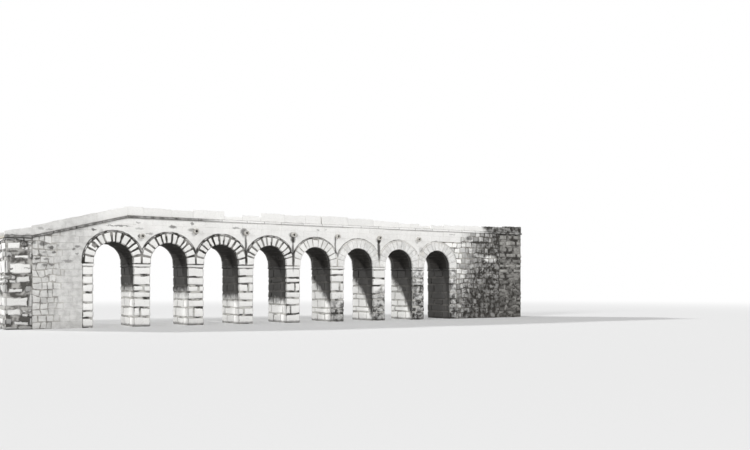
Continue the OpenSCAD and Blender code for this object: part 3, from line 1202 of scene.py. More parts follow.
@dataclass(frozen=True)
class ArchStones(Piece):
    """Stones that are bent round every arch: the face rings or the courses of the vaults."""

    joints: tuple[float, ...] = (0.016,)
    spread: float = 0.0
    near_y: float = 0.0
    far_y: float = 0.0
    inner_r: float = 0.0
    outer_r: float = 0.0
    courses: int = 13
    rows: int = 1
    mitred: bool = False
    both_faces: bool = False
    mitre_start: float = 0.0
    shift: float = 0.0
    short: float = 0.0
    bed: float = 0.012
    rounding: float = 0.016
    wear: float = 0.007
    chips: float = 0.8
    jut: float = 0.004
    row_spread: float = 0.3
    tight_rounding: Range = (0.004, 0.9)
    least_cosine: ClassVar[float] = 1e-6
    grid: BlockGrid = BlockGrid(5, 2, 4)

    def path(self, west: bool, east: bool) -> Array:
        """Places of one arch's joints, as path lengths.

        The stones are equal but for the end ones, which take in the straight legs. Where a mitre is
        shared, a band that starts above it has its ends there instead.

        Args:
            west: whether a mitre is shared on the west.
            east: whether one is shared on the east.

        Returns:
            Path lengths, both ends included.
        """
        form = self.form
        arc = math.pi * form.clear_r
        cut = math.radians(self.mitre_start) * form.clear_r
        path = np.linspace(cut * west, arc - cut * east, self.courses + 1)
        path[1:-1] += self.rng.uniform(-self.shift, self.shift, self.courses - 1)
        path[0] -= 0.0 if cut and west else form.stilt
        path[-1] += 0.0 if cut and east else form.stilt
        return path

    def shape(self) -> StoneMesh:
        """Works out every arch's stones, and the far ring as the near one's mirror image.

        Returns:
            The piece's stones.
        """
        work, form = StoneMesh(), self.form
        last = len(form.arch_x) - 1
        spread = (self.far_y - self.near_y) / self.rows
        least, share = self.tight_rounding
        for number, centre in enumerate(form.arch_x):
            low, high, gaps = [], [], []
            joint = self.joints[min(number, len(self.joints) - 1)]
            gap = joint / 2 if self.rows > 1 else 0.0
            path = self.path(number > 0, number < last)
            widths = joint * self.rng.uniform(1 - self.spread, 1 + self.spread, len(path))
            for course in range(self.courses):
                across = self.even_joints(self.near_y, self.far_y, spread, self.row_spread)
                for start, stop in pairwise(across):
                    low.append((path[course], start + gap, self.inner_r))
                    high.append((path[course + 1], stop - gap, self.outer_r - self.rng.uniform(0, self.short)))
                    gaps.append((widths[course] / 2, widths[course + 1] / 2))
            low, high, gaps = np.array(low), np.array(high), np.array(gaps)
            jut = self.rng.uniform(-self.jut, self.jut, len(low))
            if self.both_faces:
                low[:, 1] += jut
            low[:, 2] += jut
            rounding = min(self.rounding, least + share * joint)
            seed = self.seed + 10 * number
            points = self.grid.stones(low, high, rounding, self.wear, rounding * self.chips, seed)
            ends = np.stack([low[:, 0], high[:, 0]], -1)
            bent = self.bend(points, ends, gaps, joint, centre, number > 0, number < last)
            add = work.add_sides if self.both_faces else work.add
            add(self.grid.quads, bent, self.rng.uniform(-1, 1, len(low)), self.grid.arris)
        return work

    def bend(
        self, points: Array, ends: Array, gaps: Array, joint: float, centre: float, west: bool, east: bool
    ) -> Array:
        """Bends straight blocks round one arch and cuts their outer ends to the mitres.

        A block's radius is pressed from its full length to the mitre's, which is half the distance
        between arches, less a quarter of a joint, over the cosine of the angle. A joint keeps its
        width, so its share of the path shrinks with the radius.

        Args:
            points: straight blocks, by stone, point and axis: path length, y and radius.
            ends: path lengths at the start and end of each stone.
            gaps: half widths of the joints there.
            joint: twice the width of the joint along a mitre.
            centre: place of the arch centre along the bridge.
            west: whether a mitre is shared on the west.
            east: whether one is shared on the east.

        Returns:
            The bent points.
        """
        form = self.form
        arc = math.pi * form.clear_r
        path, radius = points[..., 0], points[..., 2]
        angle = np.clip(path, 0, arc) / form.clear_r
        cosine = np.cos(angle)
        reach = np.full(path.shape, self.outer_r)
        if self.mitred:
            limit = (form.pitch - joint / 2) / 2
            toward = np.where(cosine > 0, cosine * west, -cosine * east)
            reach = np.minimum(reach, limit / np.maximum(toward, self.least_cosine))
        radius = self.inner_r + (radius - self.inner_r) * (reach - self.inner_r) / (self.outer_r - self.inner_r)
        start, stop = ends[:, :1], ends[:, 1:]
        share = (path - start) / (stop - start)
        narrow = form.clear_r / radius
        begin = start + np.where(start < 0, self.bed, gaps[:, :1] * narrow)
        end = stop - np.where(stop > arc + TOUCH, self.bed, gaps[:, 1:] * narrow)
        x, z = form.bend(centre, begin + share * (end - begin), radius)
        return xyz(x, points[..., 1], z)


@dataclass(frozen=True)
class Block:
    """A rectangular body of stonework: its ends along the bridge, and which of them show."""

    west: float
    east: float
    west_shows: bool
    east_shows: bool


@dataclass(frozen=True)
class Quoin:
    """One stone of a block's long faces: its ends as shares of the block's length, its heights and tone."""

    start: float
    stop: float
    foot: float
    top: float
    tone: float = 0.0
    darker: ClassVar[float] = 0.3

    def lowered(self, drop: float, turned: bool) -> Quoin:
        """The same stone further down and darker, and turned end for end."""
        ends = (1 - self.stop, 1 - self.start) if turned else (self.start, self.stop)
        return Quoin(*ends, self.foot - drop, self.top - drop, self.tone - self.darker)


QUOIN_BAND = (
    Quoin(0.06, 0.58, 3.005, 3.275), Quoin(0.63, 0.79, 3.15, 3.28, -0.35), Quoin(0.83, 1.0, 3.17, 3.29, -0.65),
    Quoin(0.61, 0.85, 3.0, 3.12, -0.2), Quoin(0.89, 1.0, 2.99, 3.13, -0.5),
    Quoin(0.0, 0.27, 2.68, 2.93, -0.9), Quoin(0.33, 0.875, 2.66, 2.815), Quoin(0.91, 1.0, 2.66, 2.93, -0.7),
    Quoin(0.0, 0.12, 2.11, 2.60, -0.5), Quoin(0.15, 0.965, 2.11, 2.475),
)
QUOIN_DROP = 1.255
WEST_QUOINS = (
    Quoin(0.0, 0.36, 3.325, 3.50, -1.35), Quoin(0.40, 0.68, 3.345, 3.50, -1.15), Quoin(0.72, 1.0, 3.335, 3.50, -1.0),
    *QUOIN_BAND,
    *(quoin.lowered(QUOIN_DROP, True) for quoin in QUOIN_BAND),
    *(quoin.lowered(2 * QUOIN_DROP, False) for quoin in QUOIN_BAND[:-2]),
    Quoin(0.0, 0.45, FIRST_BED, 0.11, -0.5), Quoin(0.5, 1.0, FIRST_BED, 0.11, -0.3),
)


@dataclass(frozen=True)
class BlockStones(Piece):
    """Large rough blocks in level courses round a mortared heart: piers, abutments or end blocks."""

    blocks: tuple[Block, ...] = ()
    course_h: float = 0.36
    uneven: float = 0.3
    front_len: float = 0.7
    front_uneven: float = 0.15
    pair_every: int = 3
    stagger: float = 0.3
    leads: Range = (0.62, 0.38)
    side_len: float = 0.8
    side_uneven: float = 0.2
    side_t: float = 0.20
    joint: float = 0.034
    rounding: float = 0.034
    wear: float = 0.014
    chips: float = 1.0
    jut: float = 0.012
    wander: float = 0.0
    wander_cell: float = 0.36
    still_h: float = 0.2
    heart_inset: float = 0.035
    heart_gap: float = 0.015
    side_behind: float = 0.1
    side_tones: Range = (-0.6, 0.0)
    impost: bool = False
    impost_gaps: Range = (0.004, 0.010)
    impost_shares: Range = (0.6, 0.5)
    quoins: tuple[Quoin, ...] = ()
    grid: BlockGrid = BlockGrid(4, 2, 4)

    def shape(self) -> StoneMesh:
        """Works out the courses of every block, its heart and the impost on top.

        Returns:
            The piece's stones.
        """
        work, form = StoneMesh(), self.form
        for block in self.blocks:
            top = form.impost_z if self.impost else float(form.head(np.array([block.west, block.east])).min())
            beds = self.even_joints(FIRST_BED, top, self.course_h, self.uneven)
            stones: list[Span] = []
            for number, (bed, bed_top) in enumerate(pairwise(beds)):
                foot = bed + self.joint / 2 * (number > 0)
                under_impost = self.impost and number == len(beds) - 2
                head = bed_top - (self.impost_gaps[0] if under_impost else self.joint / 2)
                stones += self.course(block, form.dressed_y, number, foot, head)
            tint = self.rng.uniform(-1, 1, len(stones))
            if self.quoins:
                stones, tint = self.named_stones(block, top)
            self.add_stones(work, stones, tint, (1.0, 1.0))
            if self.impost:
                grow = form.impost_y - form.dressed_y
                wide = Block(
                    block.west - grow * block.west_shows, block.east + grow * block.east_shows,
                    block.west_shows, block.east_shows,
                )
                cap_top = form.springing_z - self.impost_gaps[1]
                cap = self.course(wide, form.impost_y, 0, form.impost_z, cap_top)
                self.add_stones(work, cap, self.rng.uniform(-1, 1, len(cap)), self.impost_shares)
            self.add_heart(work, block, form.springing_z if self.impost else top)
        return work

    def named_stones(self, block: Block, head: float) -> tuple[list[Span], Array]:
        """Lays the quoins on both long faces, and side stones behind those that reach a short face.

        Args:
            block: body that they go round.
            head: height that none passes.

        Returns:
            Opposite corners of each stone, and their tones.
        """
        out, width = self.form.dressed_y, block.east - block.west
        stones, tones = [], []
        for number, quoin in enumerate(self.quoins):
            x0, x1 = block.west + quoin.start * width, block.west + quoin.stop * width
            lead, top = self.leads[number % 2], min(quoin.top, head - 0.01)
            stones += self.pair(x0, x1, out, lead, quoin.foot, top)
            tones += [quoin.tone] * 2
            if quoin.start < self.side_behind:
                edge = out - (lead if quoin.start == 0.0 else self.heart_inset + self.heart_gap)
                rows = self.even_joints(-edge, edge, self.side_len, self.side_uneven)
                for start, stop in pairwise(rows):
                    low = (block.west + self.rng.uniform(0, self.jut), start + self.joint / 2, quoin.foot)
                    stones.append((low, (block.west + self.side_t, stop - self.joint / 2, top)))
                    tones.append(self.rng.uniform(*self.side_tones))
        return stones, np.array(tones)

    def add_stones(self, work: StoneMesh, stones: list[Span], tint: Array, shares: Range) -> None:
        """Adds stones, worn and waved along their beds, and held inside the bridge's box.

        Args:
            work: mesh that the stones go to.
            stones: opposite corners of each stone.
            tint: tone of each stone.
            shares: how much of the rounding and of the wear they have.
        """
        form = self.form
        rounding, wear = self.rounding * shares[0], self.wear * shares[1]
        low, high = (np.array([pair[i] for pair in stones]) for i in range(2))
        seed = int(self.rng.integers(1 << 16))
        points = self.grid.stones(low, high, rounding, wear, rounding * self.chips, seed)
        points[..., 0] = form.within(points[..., 0])
        z, top = points[..., 2], high[:, 2].max()
        free = np.clip(z / self.still_h, 0, 1) * np.clip((top - z) / self.still_h, 0, 1)
        waves = value_noise(points, self.wander_cell, self.seed + 60)
        points[..., 2] = np.maximum(z + self.wander * free * waves, LEAST_Z)
        work.add(self.grid.quads, points, tint, self.grid.arris)

    def add_heart(self, work: StoneMesh, block: Block, top: float) -> None:
        """Adds the mortared heart behind the stones of one block.

        Args:
            work: mesh that it goes to.
            block: body that the stones go round.
            top: height that it ends just under.
        """
        inset, side = self.heart_inset, self.form.dressed_y - self.heart_inset
        west = block.west + inset * block.west_shows
        east = block.east - inset * block.east_shows
        points = self.grid.shape(np.array([[west, -side, LEAST_Z]]), np.array([[east, side, top - 0.002]]), 0.004)
        work.add(self.grid.quads, points, np.zeros(1), self.grid.arris * 0, material=1)

    def pair(self, west: float, east: float, out: float, lead: float, foot: float, top: float) -> list[Span]:
        """A near and a far stone over the same length, each set back a little, as chance has it."""
        near, far = self.rng.uniform(0, self.jut, 2) - out
        return [((west, near, foot), (east, lead - out, top)), ((west, out - lead, foot), (east, -far, top))]

    def course(self, block: Block, out: float, number: int, foot: float, top: float) -> list[Span]:
        """Lays one course: front and back stones, with side stones between them.

        The corner stones of every other course reach further in, and longer and shorter front
        stones take turns, so that the joints bond.

        Args:
            block: body that the course goes round.
            out: distance of its long faces from the middle plane.
            number: number of the course from the bottom.
            foot: height of the stones' undersides.
            top: height of their tops.

        Returns:
            Opposite corners of each stone.
        """
        lead, half = self.leads[number % 2], self.joint / 2
        width = block.east - block.west
        count = max(1, round(width / self.front_len))
        if count == 1 and number % self.pair_every == 1:
            count = 2
        turns = np.where((np.arange(count) + number) % 2 == 0, 1 + self.stagger, 1 - self.stagger)
        lengths = np.cumsum(self.rng.uniform(1 - self.front_uneven, 1 + self.front_uneven, count) * turns)
        ends = block.west + np.concatenate([[0.0], lengths / lengths[-1]]) * width
        stones = []
        for i, (start, stop) in enumerate(pairwise(ends)):
            x0 = start + (half if i else self.rng.uniform(0, self.jut) * block.west_shows)
            x1 = stop - (half if i < count - 1 else self.rng.uniform(0, self.jut) * block.east_shows)
            stones += self.pair(x0, x1, out, lead, foot, top)
        rows = self.even_joints(-out + lead, out - lead, self.side_len, self.side_uneven)
        for start, stop in pairwise(rows):
            back = self.rng.uniform(0, self.jut)
            if block.west_shows:
                stones.append(((block.west + back, start + half, foot), (block.west + self.side_t, stop - half, top)))
            if block.east_shows:
                stones.append(((block.east - self.side_t, start + half, foot), (block.east - back, stop - half, top)))
        return stones


@dataclass(frozen=True)
class WallStyle:
    """How the stones of a stretch of wall are cut and laid."""

    shortest: float
    longest: float
    proud: float
    joint: float
    rounding: float
    wear: float
    wander: float
    tint: float


ASHLAR = WallStyle(0.42, 0.80, proud=0.006, joint=0.003, rounding=0.004, wear=0.002, wander=0.003, tint=0.3)
WEST_RUBBLE = WallStyle(0.26, 0.62, proud=0.008, joint=0.003, rounding=0.006, wear=0.004, wander=0.020, tint=0.6)
WEST_BROKEN = WallStyle(0.16, 0.36, proud=0.014, joint=0.014, rounding=0.024, wear=0.022, wander=0.075, tint=1.8)
EAST_RUBBLE = WallStyle(0.17, 0.40, proud=0.020, joint=0.024, rounding=0.042, wear=0.022, wander=0.060, tint=7.0)


@dataclass(frozen=True)
class WallRun:
    """A stretch of one course.

    Its ends are upright at a place, or follow the outline of the arch ring with that centre.
    """

    west: float
    east: float
    style: WallStyle
    west_ring: bool = False
    east_ring: bool = False


@dataclass(frozen=True)
class WallStones(Piece):
    """Coursed stones of the spandrels and wing walls, cut to the arch rings and the deck line."""

    ring_gap: float = 0.016
    least_haunch: float = 0.30
    depth: float = 0.10
    low_courses: int = 10
    haunch_courses: int = 5
    top_courses: int = 2
    broken_len: float = 0.95
    ashlar_end: float = 1.7
    bite: float = 0.618
    jut: float = 0.3
    head_gap: float = 0.004
    tip_h: float = 0.12
    tip_gap: float = 0.05
    least_h: float = 0.03
    still_len: float = 0.15
    still_h: float = 0.2
    bed_cell: float = 0.42
    joint_cell: float = 0.38
    grid: BlockGrid = BlockGrid(3, 2, 2)

    def beds(self) -> Array:
        """Divides the walls evenly up to the springing, from there to the crowns, and to the wall heads.

        Returns:
            Heights of the beds.
        """
        form = self.form
        crown = form.centre_z + form.extrados_r
        low = np.linspace(FIRST_BED, form.springing_z, self.low_courses + 1)
        middle = np.linspace(form.springing_z, crown, self.haunch_courses + 1)
        top = np.linspace(crown, float(form.deck_z.max()), self.top_courses + 1)
        return np.concatenate([low, middle[1:], top[1:]])

    def runs(self, bed: float, bed_top: float, number: int) -> list[WallRun]:
        """Finds the stretches of one course. Where two styles meet, the courses interlock.

        Args:
            bed: height of the course's bed.
            bed_top: height of its top.
            number: number of the course from the bottom.

        Returns:
            The stretches, from west to east.
        """
        form = self.form
        west, east = form.foot_x, form.east_block_x
        tooth = number * self.bite % 1 - 0.5
        broken = west + self.broken_len + 0.5 * tooth
        runs = [WallRun(west, broken, WEST_BROKEN)]
        if bed_top <= form.springing_z + TOUCH:
            return runs + [
                WallRun(broken, form.west_abutment[0], WEST_RUBBLE),
                WallRun(form.east_abutment[1], east, EAST_RUBBLE),
            ]
        first, last = float(form.arch_x[0]), float(form.arch_x[-1])
        if bed >= form.centre_z + form.extrados_r - TOUCH:
            start, stop = first - form.clear_r + tooth, last + self.ashlar_end + tooth
            return runs + [
                WallRun(broken, start, WEST_RUBBLE), WallRun(start, stop, ASHLAR), WallRun(stop, east, EAST_RUBBLE)
            ]
        runs.append(WallRun(broken, first, WEST_RUBBLE, east_ring=True))
        for start, stop in pairwise(form.arch_x.tolist()):
            runs.append(WallRun(start, stop, ASHLAR, True, True))
        runs.append(WallRun(last, east, EAST_RUBBLE, west_ring=True))
        return runs

    def shape(self) -> StoneMesh:
        """Works out every course of the near walls, and the far ones as their mirror image.

        Returns:
            The piece's stones.
        """
        work = StoneMesh()
        for number, (bed, top) in enumerate(pairwise(self.beds().tolist())):
            for run in self.runs(bed, top, number):
                self.lay(work, run, bed, top, number)
        return work

    def lay(self, work: StoneMesh, run: WallRun, bed: float, top: float, number: int) -> None:
        """Lays one stretch of a course.

        A stone next to an arch ring is stretched so that its end follows the ring: a point at share
        s of the stone's length goes to s of the way between the stone's two ends at that height.
        Tops are cut down to the wall heads, and stones that lie over them are left out.

        Args:
            work: mesh that the stones go to.
            run: the stretch.
            bed: height of the course's bed.
            top: height of its top.
            number: number of the course from the bottom.
        """
        form, style = self.form, run.style
        half = style.joint / 2
        reach = float(form.haunch((bed + top) / 2, self.least_haunch)) + self.ring_gap
        start = run.west + reach * run.west_ring
        stop = run.east - reach * run.east_ring
        least_top = bed
        if run.west_ring and run.east_ring:
            tip = form.centre_z + math.sqrt(form.extrados_r**2 - (form.pitch / 2) ** 2)
            if top < tip + self.tip_h:
                return
            least_top = max(bed, tip + self.tip_gap)
        joints = self.run_joints(start, stop, style.shortest, style.longest)
        west, east = joints[:-1], joints[1:]
        jut = self.rng.uniform(-self.jut, self.jut, len(west)) * style.proud
        low = xyz(west, -form.wall_y - style.proud + jut, least_top + half)
        high = xyz(east, -form.wall_y + self.depth, top - half)
        tint = self.rng.uniform(-1, 1, len(west)) * style.tint
        keep = form.head((west + east) / 2) > least_top + self.least_h
        points = self.grid.stones(low, high, style.rounding, style.wear, style.rounding, self.seed + 7 * number)
        place = points * np.array([1.0, 0.0, 1.0])
        share = (points[..., 0] - low[:, None, 0]) / (high - low)[:, None, 0]
        free = np.clip(np.minimum(points[..., 0] - start, stop - points[..., 0]) / self.still_len, 0, 1)
        z = points[..., 2]
        waves = value_noise(place, self.bed_cell, self.seed + 90)
        z = z + style.wander * waves * np.clip((z - 0.01) / self.still_h, 0, 1)
        wide = form.haunch(z, self.least_haunch) + self.ring_gap
        first = np.arange(len(west))[:, None] == 0
        last = np.arange(len(west))[:, None] == len(west) - 1
        begin = np.where(first & run.west_ring, run.west + wide, west[:, None] + half)
        end = np.where(last & run.east_ring, run.east - wide, east[:, None] - half)
        waves = value_noise(place, self.joint_cell, self.seed + 91)
        x = begin + share * (end - begin) + free * style.wander * waves
        z = np.clip(z, LEAST_Z, form.head(x) - self.head_gap)
        points = xyz(x, points[..., 1], z)[keep]
        if len(points):
            work.add_sides(self.grid.quads, points, tint[keep], self.grid.arris)


@dataclass(frozen=True)
class StringStones(Piece):
    """Long stones of the string course under the parapet, which follow the deck line."""

    shortest: float = 0.8
    longest: float = 1.2
    joint: float = 0.008
    rounding: float = 0.014
    wear: float = 0.006
    jut: float = 0.006
    broken: tuple[Range, ...] = ()
    broken_loss: float = 0.045
    broken_cell: float = 0.12
    broken_fade: float = 0.08
    lip_t: float = 0.05
    inset: float = 0.001
    grid: BlockGrid = BlockGrid(10, 3, 2)

    def shape(self) -> StoneMesh:
        """Works out the stones between the corners of the deck line.

        Returns:
            The piece's stones.
        """
        work, form = StoneMesh(), self.form
        for start, stop in pairwise(form.deck_x.tolist()):
            joints = self.run_joints(start, stop, self.shortest, self.longest)
            west, east = joints[:-1], joints[1:]
            half = self.joint / 2
            west = west + half * (west > form.west_x + TOUCH)
            east = east - half * (east < form.east_x - TOUCH)
            low = xyz(west, -form.string_y + self.rng.uniform(0.0, self.jut, len(west)), self.inset)
            high = xyz(east, -form.parapet_y, form.string_h - self.inset)
            points = self.erode(self.grid.stones(low, high, self.rounding, self.wear, self.rounding, self.seed))
            points[..., 0] = form.within(points[..., 0])
            points[..., 1] = np.clip(points[..., 1], -form.string_y, -form.parapet_y)
            points[..., 2] = form.head(points[..., 0]) + np.clip(points[..., 2], 0.0, form.string_h)
            work.add_sides(self.grid.quads, points, self.rng.uniform(-1, 1, len(low)), self.grid.arris)
        return work

    def erode(self, points: Array) -> Array:
        """Wears the moulding's lip back along the broken stretches, by a loss that noise varies.

        Args:
            points: points of its stones.

        Returns:
            The moved points.
        """
        moved = points.copy()
        lip = np.clip((-points[..., 1] - self.form.wall_y) / self.lip_t, 0, 1)
        for start, stop in self.broken:
            within = np.minimum(points[..., 0] - start, stop - points[..., 0])
            inside = np.clip(within / self.broken_fade + 1, 0, 1)
            rough = 0.75 + 0.25 * value_noise(points, self.broken_cell, self.seed + 3)
            moved[..., 1] += lip * inside * self.broken_loss * rough
        return moved


@dataclass(frozen=True)
class ParapetSlabs(Piece):
    """Upright slabs of the parapets, with tops worn uneven and broken."""

    rounding: float = 0.014
    wear: float = 0.006
    ragged: float = 0.030
    broken_ragged: float = 0.070
    closed: float = 0.009
    open_x: float = 0.68
    open_reach: float = 0.3
    open_half: float = 0.018
    full_loss: float = 0.12
    coarse_cell: float = 0.34
    fine_cell: float = 0.11
    across: float = 0.35
    grid: BlockGrid = BlockGrid(24, 2, 3)

    def shape(self) -> StoneMesh:
        """Works out the slabs from the ends and tops that the solids have.

        Returns:
            The piece's stones.
        """
        work, form = StoneMesh(), self.form
        west, east, west_top, east_top = form.slabs.T
        west = west - np.where(np.abs(west - self.open_x) < self.open_reach, -self.open_half, self.closed)
        east = east + np.where(np.abs(east - self.open_x) < self.open_reach, -self.open_half, self.closed)
        base, west_h, east_h = form.string_h, west_top - form.head(west), east_top - form.head(east)
        tall = np.maximum(west_h, east_h)
        low, high = xyz(west, -form.wall_y, base), xyz(east, -form.parapet_y, tall)
        points = self.grid.stones(low, high, self.rounding, self.wear, self.rounding, self.seed)
        loss = np.clip((tall.max() - tall) / self.full_loss, 0, 1)[:, None]
        share = (points[..., 0] - west[:, None]) / (east - west)[:, None]
        top = np.clip((points[..., 2] - base) / (tall[:, None] - base), 0, 1)
        plan = points * np.array([1.0, self.across, 0.0])
        coarse = value_noise(plan, self.coarse_cell, self.seed + 5)
        fine = value_noise(plan, self.fine_cell, self.seed + 6)
        rough = coarse * 0.6 + fine * 0.4
        drop = (self.ragged + (self.broken_ragged - self.ragged) * loss) * (0.5 - 0.5 * rough) * top**3
        points[..., 2] = np.maximum(points[..., 2] - drop, base)
        line = west_h[:, None] * (1 - share) + east_h[:, None] * share
        points[..., 2] = base + (points[..., 2] - base) * (line - base) / (tall[:, None] - base)
        points[..., 0] = form.within(points[..., 0])
        points[..., 2] += form.head(points[..., 0])
        # The slabs' bottom edges darken most, a painted shadow under them.
        foot = np.where(self.grid.surface[1][:, 2] < 0, 1.0, 0.1) * self.grid.arris
        work.add_sides(self.grid.quads, points, self.rng.uniform(-1, 1, len(low)), foot)
        return work


@dataclass(frozen=True)
class RoadSurface(Piece):
    """Packed stone road between the parapets, with two shallow wheel tracks."""

    track_y: float = 0.38
    track_w: float = 0.10
    track_depth: float = 0.012
    cross_fall: float = 0.010
    coarse_cell: float = 0.25
    fine_cell: float = 0.11
    bumps: float = 0.008
    inset: float = 0.002
    rounding: float = 0.006
    top_rise: float = 0.004
    most_bump: float = 0.003
    grid: BlockGrid = BlockGrid(150, 22, 2)

    def shape(self) -> StoneMesh:
        """Works out the road as one slab: its top is crowned, dished along the tracks and uneven.

        Returns:
            The piece's stones.
        """
        work, form = StoneMesh(), self.form
        side = form.parapet_y - self.inset
        low = np.array([[form.west_x, -side, self.inset]])
        high = np.array([[form.east_x, side, form.road_h + self.top_rise]])
        points = self.grid.shape(low, high, self.rounding)
        y = points[..., 1]
        track = np.exp(-(((np.abs(y) - self.track_y) / self.track_w) ** 2))
        top = (points[..., 2] > form.road_h * 0.5).astype(float)
        coarse = value_noise(points, self.coarse_cell, self.seed)
        fine = value_noise(points, self.fine_cell, self.seed + 1)
        uneven = self.bumps * (coarse * 0.4 + fine * 0.2 - 0.5)
        fall = self.cross_fall * (y / side) ** 2 + self.track_depth * track + uneven
        points[..., 2] = np.clip(points[..., 2] - top * np.maximum(fall, -self.most_bump), 0.0, None)
        points[..., 0] = form.within(points[..., 0], self.inset)
        points[..., 2] += form.head(points[..., 0])
        work.add(self.grid.quads, points, np.zeros(1), self.grid.arris * 0)
        return work


@dataclass(frozen=True)
class DrainSpouts(Piece):
    """Round stone tubes over the piers, turned to a lip at the mouth."""

    neck: float = 0.012
    lip: float = 0.045
    turns: int = 40
    rough: float = 0.01
    rough_cell: float = 0.06

    def profile(self) -> Array:
        """Draws the closed outline of the tube's wall.

        Returns:
            Radius and distance from the bridge's middle plane, one row a corner.
        """
        form = self.form
        outer, bore, mouth, back = form.spout_r, form.bore_r, form.spout_y, form.inner_y
        face = form.wall_y
        neck = outer - self.neck
        stub = [(bore, back), (neck, back), (neck, face - 0.02)]
        collar = [(outer - 0.003, face - 0.005), (outer - 0.003, face + 0.012), (neck, face + 0.03)]
        lip = [(neck, mouth - self.lip - 0.012), (outer - 0.002, mouth - self.lip), (outer, mouth - self.lip / 2)]
        rim = [(outer - 0.003, mouth - 0.006), (outer - 0.014, mouth), (bore + 0.010, mouth - 0.001)]
        return np.array([*stub, *collar, *lip, *rim, (bore + 0.001, mouth - 0.010), (bore, mouth - 0.03)])

    def shape(self) -> StoneMesh:
        """Turns the outline round each spout's axis: x = r cos a, z = r sin a, y as the outline has it.

        Returns:
            The piece's stones.
        """
        work, form = StoneMesh(), self.form
        outline = self.profile()
        angle = np.linspace(0, 2 * math.pi, self.turns, endpoint=False)
        radius, depth = outline[:, 0][:, None], outline[:, 1][:, None]
        tube = xyz(radius * np.cos(angle), -depth, radius * np.sin(angle)).reshape(1, -1, 3)
        number = np.arange(tube.shape[1]).reshape(-1, self.turns)
        quads = quads_between(np.vstack([number, number[:1]]))
        for x, z in zip(form.pier_x, form.spout_z):
            middle = np.array([x, 0.0, z])
            points = tube + middle
            rough = 1 + self.rough * (value_noise(points, self.rough_cell, self.seed) - 1)[..., None]
            points = middle + (points - middle) * np.where([True, False, True], rough, 1.0)
            work.add_sides(quads, points, self.rng.uniform(-1, 1, 1), np.zeros(number.size))
        return work


# Stage


@dataclass(frozen=True)
class Lamp:
    """A far, soft lamp: its strength, its width in degrees and the direction that it shines from."""

    name: str
    strength: float
    softness: float
    source: Triple

    def hang(self) -> None:
        """Adds the lamp to the scene."""
        data = bpy.data.lights.new(self.name, "SUN")
        data.energy = self.strength
        data.angle = math.radians(self.softness)
        put(self.name, data).rotation_euler = Vector(self.source).to_track_quat("Z", "Y").to_euler()


@dataclass(frozen=True)
class Stage:
    """Pale floor, sun, sky and the camera of the picture."""

    floor_r: float = 160.0
    floor_sides: int = 64
    floor_albedo: float = 0.82
    clear_from: float = 24.0
    clear_to: float = 70.0
    lamps: tuple[Lamp, ...] = (
        Lamp("key", 1.48, 12.0, (0.40, -0.72, 0.57)),
        Lamp("fill", 1.20, 18.0, (-0.86, -0.36, 0.36)),
        Lamp("rim", 2.20, 4.0, (-0.60, 0.64, 0.48)),
    )
    sky: float = 0.27
    eye: Triple = (-17.426, -34.840, 1.6146)
    turn: float = -31.74
    lens: float = 40.593
    sensor: float = 36.0
    shift_up: float = 0.0819
    far: float = 1000.0

    def build(self) -> None:
        """Sets everything up around the bridge."""
        self.floor()
        self.light()
        self.camera()
        bpy.context.scene.view_settings.view_transform = "Standard"

    def floor(self) -> None:
        """Lays a round floor that fades to plain white far out, for the camera alone."""
        rings = np.array([0.0, 0.25, 0.5, 1.0]) * self.floor_r
        angle = np.linspace(0, 2 * math.pi, self.floor_sides, endpoint=False)
        x, y = rings[:, None] * np.cos(angle), rings[:, None] * np.sin(angle)
        points = xyz(x, y, 0.0).reshape(-1, 3)
        quads = quads_between(np.arange(len(points)).reshape(len(rings), -1))
        mesh = bpy.data.meshes.new("floor")
        mesh.from_pydata(points.tolist(), [], quads.tolist())
        floor = put("floor", mesh)
        paint = Paint("pale_floor")
        albedo = self.floor_albedo
        paint.set(Base_Color=(albedo, albedo, albedo), Roughness=1.0, Specular_IOR_Level=0.0)
        far = paint.x.hypot(paint.y).ramp(self.clear_from, self.clear_to) * paint.rays("Is Camera Ray", "Is Glossy Ray")
        white = paint.node("ShaderNodeEmission", inputs={"Color": (1.0, 1.0, 1.0), "Strength": 1.0})
        blend = paint.node("ShaderNodeMixShader", inputs={0: far, 1: paint.shader.outputs[0], 2: white.outputs[0]})
        paint.feed(paint.output.inputs["Surface"], blend.outputs[0])
        mesh.materials.append(paint.material)

    def light(self) -> None:
        """Hangs the lamps and sets a dim sky that the camera sees as white."""
        for lamp in self.lamps:
            lamp.hang()
        world = bpy.data.worlds.new("sky")
        bpy.context.scene.world = world
        world.use_nodes = True
        tree = NodeTree(world.node_tree)
        shown = tree.rays("Is Camera Ray", "Is Glossy Ray", "Is Transmission Ray")
        strength = shown * (1.0 - self.sky) + self.sky
        back = tree.node("ShaderNodeBackground", inputs={"Color": (1.0, 1.0, 1.0), "Strength": strength})
        tree.node("ShaderNodeOutputWorld", inputs={"Surface": back.outputs[0]})

    def camera(self) -> None:
        """Puts the camera where the picture was seen from."""
        data = bpy.data.cameras.new("camera")
        data.sensor_width = self.sensor
        data.lens = self.lens
        data.shift_y = self.shift_up
        data.clip_end = self.far
        camera = put("camera", data)
        camera.location = self.eye
        camera.rotation_euler = (math.pi / 2, 0.0, math.radians(self.turn))
        bpy.context.scene.camera = camera


# Assembly


